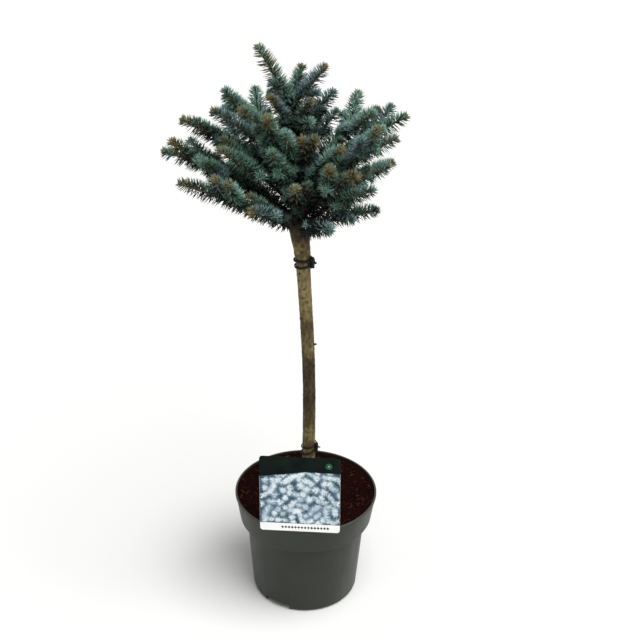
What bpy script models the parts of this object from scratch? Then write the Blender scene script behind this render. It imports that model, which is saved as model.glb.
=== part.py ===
# Potted blue spruce: a slow spruce grafted on a clear stem, grown in a moulded nursery pot.
# Lengths are metres, written as millimetres times MM, and angles are degrees. The origin is the
# middle of the pot's flat underside: +Z is up, -Y is the front and +X the right seen from there.

import math
import random
from collections import namedtuple

import bmesh
import bpy
import numpy as np
from mathutils import Matrix, Vector

MM = 0.001
GAP = 0.3 * MM
SEAM = 0.02 * MM
SMOOTH_ANGLE = math.radians(40)
SEED = 11

# Pot
POT_HEIGHT = 179 * MM
RIM_RADIUS = 112.5 * MM
LIP_HEIGHT = 3 * MM
LIP_DEPTH = 1.2 * MM
RIM_EDGE = 0.6 * MM
BAND_HEIGHT = 43.6 * MM
BAND_FOOT_RADIUS = 105.2 * MM
SHOULDER_DROP = 10 * MM
BODY_TOP_RADIUS = 94 * MM
BODY_FOOT_RADIUS = 84.2 * MM
FOOT_ROUNDING = 7 * MM
FOOT_STEPS = 3
WALL = 1.6 * MM
FLOOR = 1.8 * MM
RING_RADIUS = 62 * MM
PAD_RADIUS = 15 * MM
RECESS = 4.5 * MM
RECESS_SLOPE = 2 * MM
POT_STEPS = 48
POT_COLOUR = (0.052, 0.058, 0.053)
NOTCH_AZIMUTHS = (-121, 59)
NOTCH_WIDTH = 45 * MM
NOTCH_HEIGHT = 9.5 * MM
NOTCH_BELOW = 10 * MM
DRAIN_COUNT = 6
DRAIN_RADIUS = 4 * MM
DRAIN_CIRCLE = 40 * MM
DRAIN_SIDES = 10

# Soil
SOIL_TOP = 176 * MM
SOIL_FLAT_RADIUS = 30 * MM
SOIL_SHOULDER_RADIUS = 88 * MM
SOIL_SHOULDER_DROP = 0.6 * MM
SOIL_EDGE_DROP = 1.5 * MM
SOIL_COLOUR = (0.030, 0.012, 0.008)

# Trunk, as height above the ground of the pot, shift to the right and radius, in millimetres
TRUNK_ROWS = (
    (176.3, 3.3, 12.6),
    (180, 3.3, 11.9),
    (190, 3.3, 11.1),
    (205, 3.4, 10.5),
    (300, 3.6, 10.2),
    (360, 3.2, 10.1),
    (420, 1.2, 10.1),
    (480, -2.2, 10.2),
    (540, -6.2, 10.4),
    (569, -7.9, 10.8),
    (587, -9.4, 12.1),
    (606, -11.6, 13.9),
    (615, -12.8, 14.9),
    (624, -13.7, 16.2),
    (634, -14.3, 15.8),
    (645, -14.9, 13.0),
    (660, -15.7, 10.4),
    (690, -17.0, 8.6),
    (730, -18.6, 6.8),
    (770, -20.6, 5.0),
    (796, -22.0, 3.8),
)
TRUNK_SIDES = 12
TRUNK_COLOUR = (0.130, 0.098, 0.062)
STUB_HEIGHT = 437 * MM
STUB_AZIMUTH = -25
STUB_RISE = 24
STUB_RADIUS = 2.4 * MM
STUB_TIP_RADIUS = 1.4 * MM
STUB_LENGTH = 15 * MM
STUB_SIDES = 6

# Boughs: height of the foot on the trunk in millimetres, azimuth, rise at the foot and at the tip,
# reach along the bough and length that is bare in millimetres, and number of side shoots. The
# crest stands on the trunk's tip: its shoots are distance along it, azimuth, rise and length.
Bough = namedtuple("Bough", "name height azimuth rise tip_rise reach bare shoots")
BOUGHS = (
    Bough("left_long", 636, 183, 41, 15, 217, 72, 3),
    Bough("left_low", 619, 205, 32, 25, 202, 62, 2),
    Bough("left_upper", 668, 172, 46, 18, 199, 66, 2),
    Bough("left_front", 648, 214, 52, 30, 172, 56, 1),
    Bough("left_front_low", 622, 234, 37, 18, 128, 40, 1),
    Bough("left_back_high", 706, 146, 47, 22, 158, 50, 2),
    Bough("left_high", 692, 192, 54, 30, 162, 50, 0),
    Bough("front_left_high", 706, 222, 58, 36, 148, 44, 1),
    Bough("top_front_left", 748, 215, 66, 50, 86, 22, 0),
    Bough("top_back_right", 752, 38, 50, 32, 92, 24, 0),
    Bough("top_front_right", 757, 305, 66, 48, 72, 18, 0),
    Bough("right_high", 696, 20, 48, 26, 154, 48, 2),
    Bough("right_long", 662, 3, 54, 26, 198, 66, 2),
    Bough("right_middle", 646, 344, 54, 30, 188, 60, 2),
    Bough("right_back_low", 638, 20, 38, 14, 162, 52, 1),
    Bough("right_low", 621, 30, 10, -4, 135, 42, 1),
    Bough("front_right_middle", 642, 316, 50, 26, 144, 46, 1),
    Bough("right_front_low", 624, 331, 45, 23, 144, 46, 1),
    Bough("front_right_low", 617, 302, 32, 10, 92, 26, 0),
    Bough("front_low", 634, 266, 58, 34, 104, 30, 1),
    Bough("front_left", 664, 238, 62, 42, 118, 34, 1),
    Bough("front_high", 690, 254, 66, 46, 112, 30, 0),
    Bough("front_right_high", 686, 296, 66, 46, 106, 30, 1),
    Bough("front_right", 668, 314, 58, 36, 130, 40, 1),
    Bough("back_left_low", 624, 152, 36, 14, 172, 56, 2),
    Bough("back_low", 636, 112, 40, 16, 154, 50, 3),
    Bough("back_right_low", 626, 70, 38, 14, 150, 48, 2),
    Bough("back_left", 672, 126, 50, 26, 154, 48, 1),
    Bough("back_right", 678, 76, 52, 28, 146, 44, 2),
    Bough("back_high", 716, 100, 60, 38, 126, 36, 1),
)
CREST = Bough("crest", 792, 172, 62, 56, 103, 5, 2)
CREST_SHOOTS = ((5, 60, 64, 62), (9, 0, 47, 75))
CREST_SHOOT_LIFT = 6
SHORTEST_LIMB = 38
LIMB_FOOT_RADIUS = 3.0 * MM
LIMB_TIP_RADIUS = 2.3 * MM
LIMB_SIDES = 8
LIMB_SPANS = 3
LIMB_COLOUR = (0.105, 0.072, 0.045)

# Sprays: a core round each shoot and the needles that stand out of it
CORE_RADIUS = 6.0 * MM
CORE_TIP_RADIUS = 2.2 * MM
CORE_SWELL = 9 * MM
CORE_RING_PITCH = 36 * MM
MAIN_SIDES = 6
SHOOT_SIDES = 4
SPRAY_COLOUR = (0.075, 0.135, 0.125)
BUD_LENGTH = 8 * MM
NEEDLE_LENGTH = 21.5 * MM
NEEDLE_ROOT_RADIUS = 2.2 * MM
NEEDLE_PITCH = 6.6 * MM
NEEDLE_START = 5.4 * MM
NEEDLE_LENGTHS = (0.9, 1.08)
NEEDLE_CHECKS = (0.35, 0.55, 0.75, 0.95)
NEEDLE_FOOT_ANGLE = 60
NEEDLE_TIP_ANGLE = 34
GOLDEN_ANGLE = 137.5

# Side shoots, as shares of their bough's reach and turns from its heading, with their variation
SHOOT_FIRST = 0.52
SHOOT_STEP = 0.09
SHOOT_SHIFTS = (-0.4, 0.4)
SHOOT_SHARE = 0.47
SHOOT_LENGTHS = (0.88, 1.08)
SHOOT_SHORTENING = 0.96
SHOOT_SPREADS = (0.8, 1.15)
SHOOT_RISES = (-14, 12)
SHOOT_SHORTEST = 38 * MM
SHOOT_LONGEST = 76 * MM
SHOOT_SPREAD = 46
SHOOT_LIFT = 12
SHOOT_ATTEMPTS = 14

# Room kept between growths of different boughs, and owners of the growths that bear no needles
TRUNK_OWNER = -1
LIMB_OWNER = -2
CHAIN_STEP = 2 * MM
NEEDLE_ROOM = 0.5 * MM
SHOOT_ROOM = 1.0 * MM

# Label card on a peg in the soil
CARD_WIDTH = 120 * MM
CARD_HEIGHT = 124 * MM
CARD_THICKNESS = 1.0 * MM
CARD_CORNER = 3 * MM
CARD_CENTRE = Vector((-7.7, -106.5, 243.0)) * MM
CARD_YAW = -4.5
CARD_LEAN = 6
CARD_ROLL = 1.2
CARD_COLOUR = (0.36, 0.46, 0.55)
PEG_WIDTH = 14 * MM
PEG_THICKNESS = 1.4 * MM
PEG_WELD = 0.4 * MM
PEG_BACK = PEG_WELD - (CARD_THICKNESS + PEG_THICKNESS) / 2
PEG_TAB_WIDTH = 18 * MM
PEG_TAB_LENGTH = 22 * MM
PEG_TAB_FOOT = -50 * MM
PEG_LENGTH = 52 * MM
PEG_BEND = 18
SLOT_FRONT = 4 * MM

# Rubber ties: heights of the two turns, tilt to the right and cord radius
Tie = namedtuple("Tie", "name heights tilt cord")
TIES = (
    Tie("tie_upper", (568.0, 577.5), 5, 2.0),
    Tie("tie_lower", (252.5, 263.2), 18, 1.5),
)
TIE_CLEARANCE = 0.7 * MM
TIE_STEPS = 14
TIE_CORD_STEPS = 5
TIE_COLOUR = (0.012, 0.012, 0.013)
KNOT_SINK = 0.4 * MM
KNOT_RADIUS = 3.0 * MM
KNOT_HALF_HEIGHT = 7.2 * MM
KNOT_STEPS = 8
KNOT_RINGS = 5
KNOT_AZIMUTH = -20

Arc = namedtuple("Arc", "foot azimuth rise bend length")


# Scene and materials

def empty_scene():
    """Remove what the scene holds and make one collection for the plant and one for cutters."""
    for obj in list(bpy.data.objects):
        bpy.data.objects.remove(obj, do_unlink=True)
    collections = []
    for name in ("potted_blue_spruce", "clearances"):
        collection = bpy.data.collections.new(name)
        bpy.context.scene.collection.children.link(collection)
        collections.append(collection)
    return collections


def finish(obj, colour, roughness):
    """Work out an object's modifiers, smooth its shallow angles and give it its own material."""
    obj.data = evaluated_mesh(obj)
    obj.modifiers.clear()
    obj.data.shade_smooth()
    obj.data.set_sharp_from_angle(angle=SMOOTH_ANGLE)
    material = bpy.data.materials.new(obj.name + "_finish")
    material.use_nodes = True
    shader = material.node_tree.nodes["Principled BSDF"]
    shader.inputs["Base Color"].default_value = (*colour, 1.0)
    shader.inputs["Roughness"].default_value = roughness
    shader.inputs["Metallic"].default_value = 0.0
    obj.data.materials.clear()
    obj.data.materials.append(material)
    return obj


# Meshes and modifiers

def place(name, mesh, collection):
    """Put a mesh in a collection as an object."""
    obj = bpy.data.objects.new(name, mesh)
    collection.objects.link(obj)
    return obj


def hide_as_cutter(obj):
    """Mark an object as a guide that only cuts others."""
    obj.hide_render = True
    obj.display_type = "WIRE"
    return obj


def evaluated_mesh(obj):
    """New mesh of an object with its modifiers or its curve worked out."""
    bpy.context.view_layer.update()
    depsgraph = bpy.context.evaluated_depsgraph_get()
    return bpy.data.meshes.new_from_object(obj.evaluated_get(depsgraph), depsgraph=depsgraph)


def weld_caps(mesh):
    """Weld a curve's loose caps to its sides."""
    shape = bmesh.new()
    shape.from_mesh(mesh)
    bmesh.ops.remove_doubles(shape, verts=shape.verts, dist=SEAM)
    shape.to_mesh(mesh)
    shape.free()
    return mesh


def shells_of(shape):
    """Groups of faces that are joined along edges, the largest group first."""
    unseen = set(shape.faces)
    shells = []
    while unseen:
        shell = set()
        border = [unseen.pop()]
        while border:
            face = border.pop()
            shell.add(face)
            for edge in face.edges:
                for neighbour in edge.link_faces:
                    if neighbour in unseen:
                        unseen.remove(neighbour)
                        border.append(neighbour)
        shells.append(shell)
    return sorted(shells, key=len, reverse=True)


def keep_one_body(mesh):
    """Drop loose scraps and sealed hollows from a fused mesh, and say if the rest is closed."""
    shape = bmesh.new()
    shape.from_mesh(mesh)
    for shell in shells_of(shape)[1:]:
        bmesh.ops.delete(shape, geom=list(shell), context="FACES")
    closed = all(edge.is_manifold for edge in shape.edges) and shape.calc_volume(signed=True) > 0
    shape.to_mesh(mesh)
    shape.free()
    return closed


def turned(name, profile, steps, collection):
    """Solid turned about Z from points (radius, height) that run down its outer side."""
    shape = bmesh.new()
    verts = [shape.verts.new((radius, 0.0, height)) for radius, height in profile]
    for start, end in zip(verts, verts[1:]):
        shape.edges.new((start, end))
    mesh = bpy.data.meshes.new(name)
    shape.to_mesh(mesh)
    shape.free()
    obj = place(name, mesh, collection)
    screw = obj.modifiers.new("turn", "SCREW")
    screw.axis = "Z"
    screw.steps = steps
    screw.render_steps = steps
    screw.use_merge_vertices = True
    screw.merge_threshold = SEAM
    return obj


def tube(name, points, radii, sides, collection):
    """Tapering round limb through the points, as one closed mesh."""
    curve = bpy.data.curves.new(name, "CURVE")
    curve.dimensions = "3D"
    curve.bevel_depth = 1.0
    curve.bevel_resolution = sides // 2 - 2
    curve.use_fill_caps = True
    spline = curve.splines.new("POLY")
    spline.points.add(len(points) - 1)
    for knot, point, radius in zip(spline.points, points, radii):
        knot.co = (*point, 1.0)
        knot.radius = radius
    guide = place(name, curve, collection)
    mesh = weld_caps(evaluated_mesh(guide))
    bpy.data.objects.remove(guide, do_unlink=True)
    return place(name, mesh, collection)


def block(name, size, matrix, collection):
    """Box of a size, centred at a matrix."""
    shape = bmesh.new()
    bmesh.ops.create_cube(shape, size=1.0, matrix=matrix @ Matrix.Diagonal((*size, 1.0)))
    mesh = bpy.data.meshes.new(name)
    shape.to_mesh(mesh)
    shape.free()
    return place(name, mesh, collection)


def rounded_sheet(name, width, height, thickness, corner, matrix, collection):
    """Flat sheet with round corners, as a mesh."""
    curve = bpy.data.curves.new(name, "CURVE")
    curve.dimensions = "2D"
    curve.fill_mode = "BOTH"
    curve.extrude = thickness / 2
    outline = []
    for turn, across, up in ((0, 1, 1), (90, -1, 1), (180, -1, -1), (270, 1, -1)):
        for step in range(4):
            angle = math.radians(turn + 30 * step)
            centre = (across * (width / 2 - corner), up * (height / 2 - corner))
            outline.append((centre[0] + corner * math.cos(angle),
                            centre[1] + corner * math.sin(angle)))
    spline = curve.splines.new("POLY")
    spline.points.add(len(outline) - 1)
    spline.use_cyclic_u = True
    for knot, point in zip(spline.points, outline):
        knot.co = (*point, 0.0, 1.0)
    guide = place(name, curve, collection)
    mesh = weld_caps(evaluated_mesh(guide))
    mesh.transform(matrix)
    bpy.data.objects.remove(guide, do_unlink=True)
    return place(name, mesh, collection)


def boolean(obj, label, operation, other=None, group=None):
    """Add a Boolean modifier that works with an object or with a collection."""
    modifier = obj.modifiers.new(label, "BOOLEAN")
    modifier.operation = operation
    modifier.solver = "EXACT"
    if group is not None:
        modifier.operand_type = "COLLECTION"
        modifier.collection = group
    else:
        modifier.object = other
    return modifier


def fuse(base, pieces):
    """Join pieces to a base with one union, applied, and remove the pieces."""
    group = bpy.data.collections.new(base.name + "_pieces")
    bpy.context.scene.collection.children.link(group)
    for piece in pieces:
        for holder in list(piece.users_collection):
            holder.objects.unlink(piece)
        group.objects.link(piece)
    modifier = boolean(base, "join", "UNION", group=group)
    for solver in ("EXACT", "MANIFOLD"):
        modifier.solver = solver
        joined = evaluated_mesh(base)
        if keep_one_body(joined):
            break
    base.modifiers.remove(modifier)
    base.data = joined
    for piece in pieces:
        bpy.data.objects.remove(piece, do_unlink=True)
    bpy.data.collections.remove(group)
    return base


# Pot and soil

def foot_edge():
    """Points of the pot's rounded foot edge, from its side down to its underside."""
    points = []
    for step in range(FOOT_STEPS + 1):
        angle = math.radians(90 * step / FOOT_STEPS)
        points.append((BODY_FOOT_RADIUS - FOOT_ROUNDING * (1 - math.cos(angle)),
                       FOOT_ROUNDING * (1 - math.sin(angle))))
    return points


def pot_inside(gap):
    """Inner surface of the pot, brought in by a gap, from the rim down to the floor's middle."""
    side = WALL + gap
    floor = FLOOR + gap
    band_foot = POT_HEIGHT - BAND_HEIGHT
    shoulder = math.atan2(SHOULDER_DROP, BAND_FOOT_RADIUS - BODY_TOP_RADIUS)
    slope_shift = side * (1 - math.sin(shoulder)) / math.cos(shoulder)
    return [
        (RIM_RADIUS - LIP_DEPTH - side, POT_HEIGHT - LIP_HEIGHT),
        (BAND_FOOT_RADIUS - side, band_foot + slope_shift),
        (BODY_TOP_RADIUS - side, band_foot - SHOULDER_DROP + slope_shift),
        (BODY_FOOT_RADIUS - side, FOOT_ROUNDING + floor / 2),
        (BODY_FOOT_RADIUS - FOOT_ROUNDING, floor),
        (RING_RADIUS + side, floor),
        (RING_RADIUS - RECESS_SLOPE + side, RECESS + floor),
        (PAD_RADIUS + RECESS_SLOPE - side, RECESS + floor),
        (PAD_RADIUS - side, floor),
        (0.0, floor),
    ]


def pot_outside():
    """Outer surface of the pot, from the top of its rim down to the middle of its underside."""
    band_foot = POT_HEIGHT - BAND_HEIGHT
    lip_foot = POT_HEIGHT - LIP_HEIGHT
    points = [
        (RIM_RADIUS - RIM_EDGE, POT_HEIGHT),
        (RIM_RADIUS, POT_HEIGHT - RIM_EDGE),
        (RIM_RADIUS, lip_foot),
        (RIM_RADIUS - LIP_DEPTH, lip_foot - LIP_DEPTH),
        (BAND_FOOT_RADIUS, band_foot + RIM_EDGE),
        (BAND_FOOT_RADIUS - RIM_EDGE, band_foot),
        (BODY_TOP_RADIUS, band_foot - SHOULDER_DROP),
    ]
    points += foot_edge()
    points += [
        (RING_RADIUS, 0.0),
        (RING_RADIUS - RECESS_SLOPE, RECESS),
        (PAD_RADIUS + RECESS_SLOPE, RECESS),
        (PAD_RADIUS, 0.0),
        (0.0, 0.0),
    ]
    return points


def notch_box(name, azimuth, wall, collection):
    """Box of a drainage notch in the pot's foot, grown by a wall on its three inner sides."""
    inner = RING_RADIUS - RECESS_SLOPE / 2 - wall
    outer = RIM_RADIUS
    high = NOTCH_HEIGHT + wall
    size = (outer - inner, NOTCH_WIDTH + 2 * wall, high + NOTCH_BELOW)
    middle = Matrix.Translation(((inner + outer) / 2, 0.0, (high - NOTCH_BELOW) / 2))
    matrix = Matrix.Rotation(math.radians(azimuth), 4, "Z") @ middle
    return hide_as_cutter(block(name, size, matrix, collection))


def drain_hole(name, azimuth, collection):
    """Upright cylinder that cuts one drain hole in the floor's raised ring."""
    shape = bmesh.new()
    height = 3 * (RECESS + FLOOR)
    turn = math.radians(azimuth)
    centre = (DRAIN_CIRCLE * math.cos(turn), DRAIN_CIRCLE * math.sin(turn), RECESS)
    bmesh.ops.create_cone(shape, cap_ends=True, segments=DRAIN_SIDES,
                          radius1=DRAIN_RADIUS, radius2=DRAIN_RADIUS, depth=height,
                          matrix=Matrix.Translation(centre))
    mesh = bpy.data.meshes.new(name)
    shape.to_mesh(mesh)
    shape.free()
    return hide_as_cutter(place(name, mesh, collection))


def make_pot(plant, cutters):
    """Moulded pot with a stepped rim band, thin walls, drain holes and two notches in its foot."""
    above = POT_HEIGHT + WALL
    hollow_profile = [(0.0, above), (RIM_RADIUS - LIP_DEPTH - WALL, above)] + pot_inside(0.0)
    hollow = hide_as_cutter(turned("pot_hollow", hollow_profile, POT_STEPS, cutters))
    pot = turned("pot", [(0.0, POT_HEIGHT)] + pot_outside(), POT_STEPS, plant)
    for number, azimuth in enumerate(NOTCH_AZIMUTHS):
        pocket = notch_box(f"pocket_{number}", azimuth, WALL, cutters)
        boolean(hollow, f"spare_pocket_{number}", "DIFFERENCE", pocket)
    boolean(pot, "hollow", "DIFFERENCE", hollow)
    for number, azimuth in enumerate(NOTCH_AZIMUTHS):
        notch = notch_box(f"notch_{number}", azimuth, 0.0, cutters)
        boolean(pot, f"notch_{number}", "DIFFERENCE", notch)
    for number in range(DRAIN_COUNT):
        drain = drain_hole(f"drain_{number}", number * 360 / DRAIN_COUNT, cutters)
        boolean(pot, f"drain_{number}", "DIFFERENCE", drain)
    weld = pot.modifiers.new("weld", "WELD")
    weld.merge_threshold = SEAM
    return finish(pot, POT_COLOUR, 0.45)


def make_soil(plant, cutters):
    """Peat and bark that fill the pot, flat under the stem and a little lower at the wall."""
    band_slope = (RIM_RADIUS - LIP_DEPTH - BAND_FOOT_RADIUS) / (BAND_HEIGHT - LIP_HEIGHT)
    edge_height = SOIL_TOP - SOIL_EDGE_DROP
    edge_radius = BAND_FOOT_RADIUS + band_slope * (edge_height - POT_HEIGHT + BAND_HEIGHT)
    profile = [
        (0.0, SOIL_TOP),
        (SOIL_FLAT_RADIUS, SOIL_TOP),
        (SOIL_SHOULDER_RADIUS, SOIL_TOP - SOIL_SHOULDER_DROP),
        (edge_radius - WALL - GAP, edge_height),
    ]
    soil = turned("soil", profile + pot_inside(GAP)[1:], POT_STEPS, plant)
    for number, azimuth in enumerate(NOTCH_AZIMUTHS):
        pocket = notch_box(f"soil_pocket_{number}", azimuth, WALL + GAP, cutters)
        boolean(soil, f"pocket_{number}", "DIFFERENCE", pocket)
    slot = hide_as_cutter(peg_blade("peg_slot", GAP, cutters, SLOT_FRONT))
    boolean(soil, "peg_slot", "DIFFERENCE", slot)
    return finish(soil, SOIL_COLOUR, 0.95)


# Label and ties

def card_matrix():
    """Place of the card: its local X runs right, Y up and Z to the front."""
    return (Matrix.Translation(CARD_CENTRE)
            @ Matrix.Rotation(math.radians(CARD_YAW), 4, "Z")
            @ Matrix.Rotation(math.radians(90 - CARD_LEAN), 4, "X")
            @ Matrix.Rotation(math.radians(CARD_ROLL), 4, "Z"))


def peg_blade(name, gap, collection, front=0.0):
    """Blade of the card's peg, bent back from its tab and down, or its slot, open to the wall."""
    hinge = Matrix.Translation((0.0, PEG_TAB_FOOT, PEG_BACK))
    bend = Matrix.Rotation(math.radians(PEG_BEND), 4, "X")
    middle = Matrix.Translation((0.0, -PEG_LENGTH / 2, front / 2))
    size = (PEG_WIDTH + 2 * gap, PEG_LENGTH + 2 * gap, PEG_THICKNESS + 2 * gap + front)
    return block(name, size, card_matrix() @ hinge @ bend @ middle, collection)


def make_label(plant):
    """Thin plant card with its peg welded on the back by a short tab."""
    card = rounded_sheet("label", CARD_WIDTH, CARD_HEIGHT, CARD_THICKNESS, CARD_CORNER,
                         card_matrix(), plant)
    centre = Matrix.Translation((0.0, PEG_TAB_FOOT + PEG_TAB_LENGTH / 2, PEG_BACK))
    tab_size = (PEG_TAB_WIDTH, PEG_TAB_LENGTH, PEG_THICKNESS)
    tab = block("peg_tab", tab_size, card_matrix() @ centre, plant)
    label = fuse(card, [tab, peg_blade("peg_blade", 0.0, plant)])
    return finish(label, CARD_COLOUR, 0.3)


def make_tie(tie, plant):
    """Rubber cord wound twice round the stem, its two turns drawn together by a knot."""
    turns = []
    for number, height in enumerate(tie.heights):
        axis = trunk_point(height * MM)
        bore = trunk_radius(height * MM) / math.cos(math.radians(tie.tilt)) + TIE_CLEARANCE
        bpy.ops.mesh.primitive_torus_add(
            major_segments=TIE_STEPS, minor_segments=TIE_CORD_STEPS,
            major_radius=bore + tie.cord * MM, minor_radius=tie.cord * MM)
        ring = bpy.context.active_object
        ring.name = f"{tie.name}_turn_{number}"
        ring.data.transform(Matrix.Translation(axis)
                            @ Matrix.Rotation(math.radians(-tie.tilt), 4, "Y"))
        for holder in list(ring.users_collection):
            holder.objects.unlink(ring)
        plant.objects.link(ring)
        turns.append(ring)
    middle = sum(tie.heights) / 2 * MM
    out = trunk_radius(middle) + TIE_CLEARANCE + KNOT_RADIUS + KNOT_SINK
    lift = out * math.sin(math.radians(tie.tilt))
    centre = trunk_point(middle) + out * heading(KNOT_AZIMUTH, 0) + Vector((0.0, 0.0, lift))
    shape = bmesh.new()
    knot_size = Matrix.Diagonal((KNOT_RADIUS, KNOT_RADIUS, KNOT_HALF_HEIGHT, 1.0))
    bmesh.ops.create_uvsphere(shape, u_segments=KNOT_STEPS, v_segments=KNOT_RINGS, radius=1.0,
                              matrix=Matrix.Translation(centre) @ knot_size)
    mesh = bpy.data.meshes.new("knot")
    shape.to_mesh(mesh)
    shape.free()
    knot = place("knot", mesh, plant)
    turns[0].name = tie.name
    joined = fuse(turns[0], [turns[1], knot])
    return finish(joined, TIE_COLOUR, 0.6)


# Trunk and boughs

def trunk_point(height):
    """Point of the trunk's axis at a height."""
    heights = [row[0] * MM for row in TRUNK_ROWS]
    shifts = [row[1] * MM for row in TRUNK_ROWS]
    return Vector((np.interp(height, heights, shifts), 0.0, height))


def trunk_radius(height):
    """Radius of the trunk at a height."""
    heights = [row[0] * MM for row in TRUNK_ROWS]
    radii = [row[2] * MM for row in TRUNK_ROWS]
    return float(np.interp(height, heights, radii))


def trunk_tube(name, growth, collection):
    """The trunk's shape, grown all round and at both ends."""
    points = [Vector((row[1] * MM, 0.0, row[0] * MM)) for row in TRUNK_ROWS]
    points[0].z -= growth
    points[-1].z += growth
    radii = [row[2] * MM + growth for row in TRUNK_ROWS]
    return tube(name, points, radii, TRUNK_SIDES, collection)


def make_trunk(plant):
    """Whole stem from a flat cut at the soil through its graft to the leader, with one stub."""
    trunk = trunk_tube("trunk", 0.0, plant)
    foot = trunk_point(STUB_HEIGHT)
    tip = foot + heading(STUB_AZIMUTH, STUB_RISE) * STUB_LENGTH
    stub = tube("stub", [foot, tip], [STUB_RADIUS, STUB_TIP_RADIUS], STUB_SIDES, plant)
    return finish(fuse(trunk, [stub]), TRUNK_COLOUR, 0.85)


def heading(azimuth, rise):
    """Unit vector towards an azimuth that climbs at a rise above the level."""
    turn = math.radians(azimuth)
    climb = math.radians(rise)
    level = math.cos(climb)
    return Vector((math.cos(turn) * level, math.sin(turn) * level, math.sin(climb)))


def point_on(arc, along):
    """Point at a distance along an arc whose rise changes evenly from its foot to its tip."""
    start = math.radians(arc.rise)
    rate = math.radians(arc.bend) / arc.length
    end = start + rate * along
    out = (math.sin(end) - math.sin(start)) / rate
    up = (math.cos(start) - math.cos(end)) / rate
    turn = math.radians(arc.azimuth)
    return arc.foot + Vector((math.cos(turn) * out, math.sin(turn) * out, up))


def direction_on(arc, along):
    """Direction of an arc at a distance along it."""
    return heading(arc.azimuth, arc.rise + arc.bend * along / arc.length)


def bough_arc(bough):
    """Arc of a bough, from the trunk's axis to its furthest needle."""
    foot = trunk_point(bough.height * MM)
    bend = bough.tip_rise - bough.rise
    return Arc(foot, bough.azimuth, bough.rise, bend, bough.reach * MM)


def limb_radius(bough, along):
    """Radius of a bough's bare limb at a distance along it."""
    share = min(1.0, along / (bough.bare * MM))
    return LIMB_FOOT_RADIUS + (LIMB_TIP_RADIUS - LIMB_FOOT_RADIUS) * share


def make_limb(bough, trunk_room, plant):
    """Bare foot of a bough: one tapering limb from the trunk's surface to its foliage."""
    arc = bough_arc(bough)
    rings = [bough.bare * MM * step / LIMB_SPANS for step in range(LIMB_SPANS + 1)]
    points = [point_on(arc, along) for along in rings]
    radii = [limb_radius(bough, along) for along in rings]
    limb = tube("bough_" + bough.name, points, radii, LIMB_SIDES, plant)
    boolean(limb, "seat_on_trunk", "DIFFERENCE", trunk_room)
    return finish(limb, LIMB_COLOUR, 0.85)


# Foliage

class Growth:
    """Balls along every stem, against which each new shoot and needle is tested."""

    def __init__(self):
        self.balls = []
        self.table = None

    def add(self, owner, chain, leafy):
        """Add a chain of (point, radius) that belongs to an owner, leafy or bare."""
        for point, radius in chain:
            self.balls.append((*point, radius, owner, leafy))
        self.table = None

    def has_room(self, owner, samples, margin, own_space=True):
        """True where (point, radius) samples clear what others hold and lie nearest to their own."""
        if self.table is None:
            self.table = np.array(self.balls)
        own = self.table[:, 4] == owner
        others = self.table[~own]
        mine = self.table[own]
        for point, radius in samples:
            to_others = np.linalg.norm(others[:, :3] - np.array(point), axis=1)
            if np.any(to_others < others[:, 3] + radius + margin):
                return False
            leafy = to_others[others[:, 5] > 0]
            if not own_space or len(leafy) == 0:
                continue
            to_mine = np.linalg.norm(mine[:, :3] - np.array(point), axis=1)
            if leafy.min() - to_mine.min() < 2 * radius + margin:
                return False
        return True


def core_radius(along, start, end, foot_radius):
    """Radius of a spray's core, which swells from its stem and narrows to its bud."""
    swell = min(1.0, max(0.0, (along - start) / CORE_SWELL))
    narrow = min(1.0, max(0.0, (end - along) / CORE_SWELL))
    swollen = foot_radius + (CORE_RADIUS - foot_radius) * swell
    return CORE_TIP_RADIUS + (swollen - CORE_TIP_RADIUS) * narrow


def core_chain(arc, start, end, foot_radius):
    """Balls along a spray's core."""
    count = max(2, round((end - start) / CHAIN_STEP))
    chain = []
    for step in range(count + 1):
        along = start + (end - start) * step / count
        chain.append((point_on(arc, along), core_radius(along, start, end, foot_radius)))
    return chain


def core_tube(name, arc, start, end, foot_radius, stem, sides, collection):
    """Core of a spray as a mesh, on any rings (distance, radius) of the stem before it."""
    middle_length = end - start - 2 * CORE_SWELL
    middles = max(1, round(middle_length / CORE_RING_PITCH))
    rings = [start]
    rings += [start + CORE_SWELL + middle_length * step / middles for step in range(middles + 1)]
    rings.append(end)
    points = [point_on(arc, along) for along, radius in stem]
    radii = [radius for along, radius in stem]
    points += [point_on(arc, along) for along in rings]
    radii += [core_radius(along, start, end, foot_radius) for along in rings]
    return tube(name, points, radii, sides, collection)


def needle_mesh():
    """Three-sided needle one unit long and wide, from the origin up +Z to its point."""
    shape = bmesh.new()
    bmesh.ops.create_cone(shape, cap_ends=True, segments=3, radius1=1.0, radius2=0.0, depth=1.0,
                          matrix=Matrix.Translation((0.0, 0.0, 0.5)))
    mesh = bpy.data.meshes.new("needle")
    shape.to_mesh(mesh)
    shape.free()
    return mesh


def needle_samples(root, direction, length):
    """Balls along the free part of a needle."""
    samples = []
    for share in NEEDLE_CHECKS:
        samples.append((root + direction * length * share, NEEDLE_ROOT_RADIUS * (1 - share)))
    return samples


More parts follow.
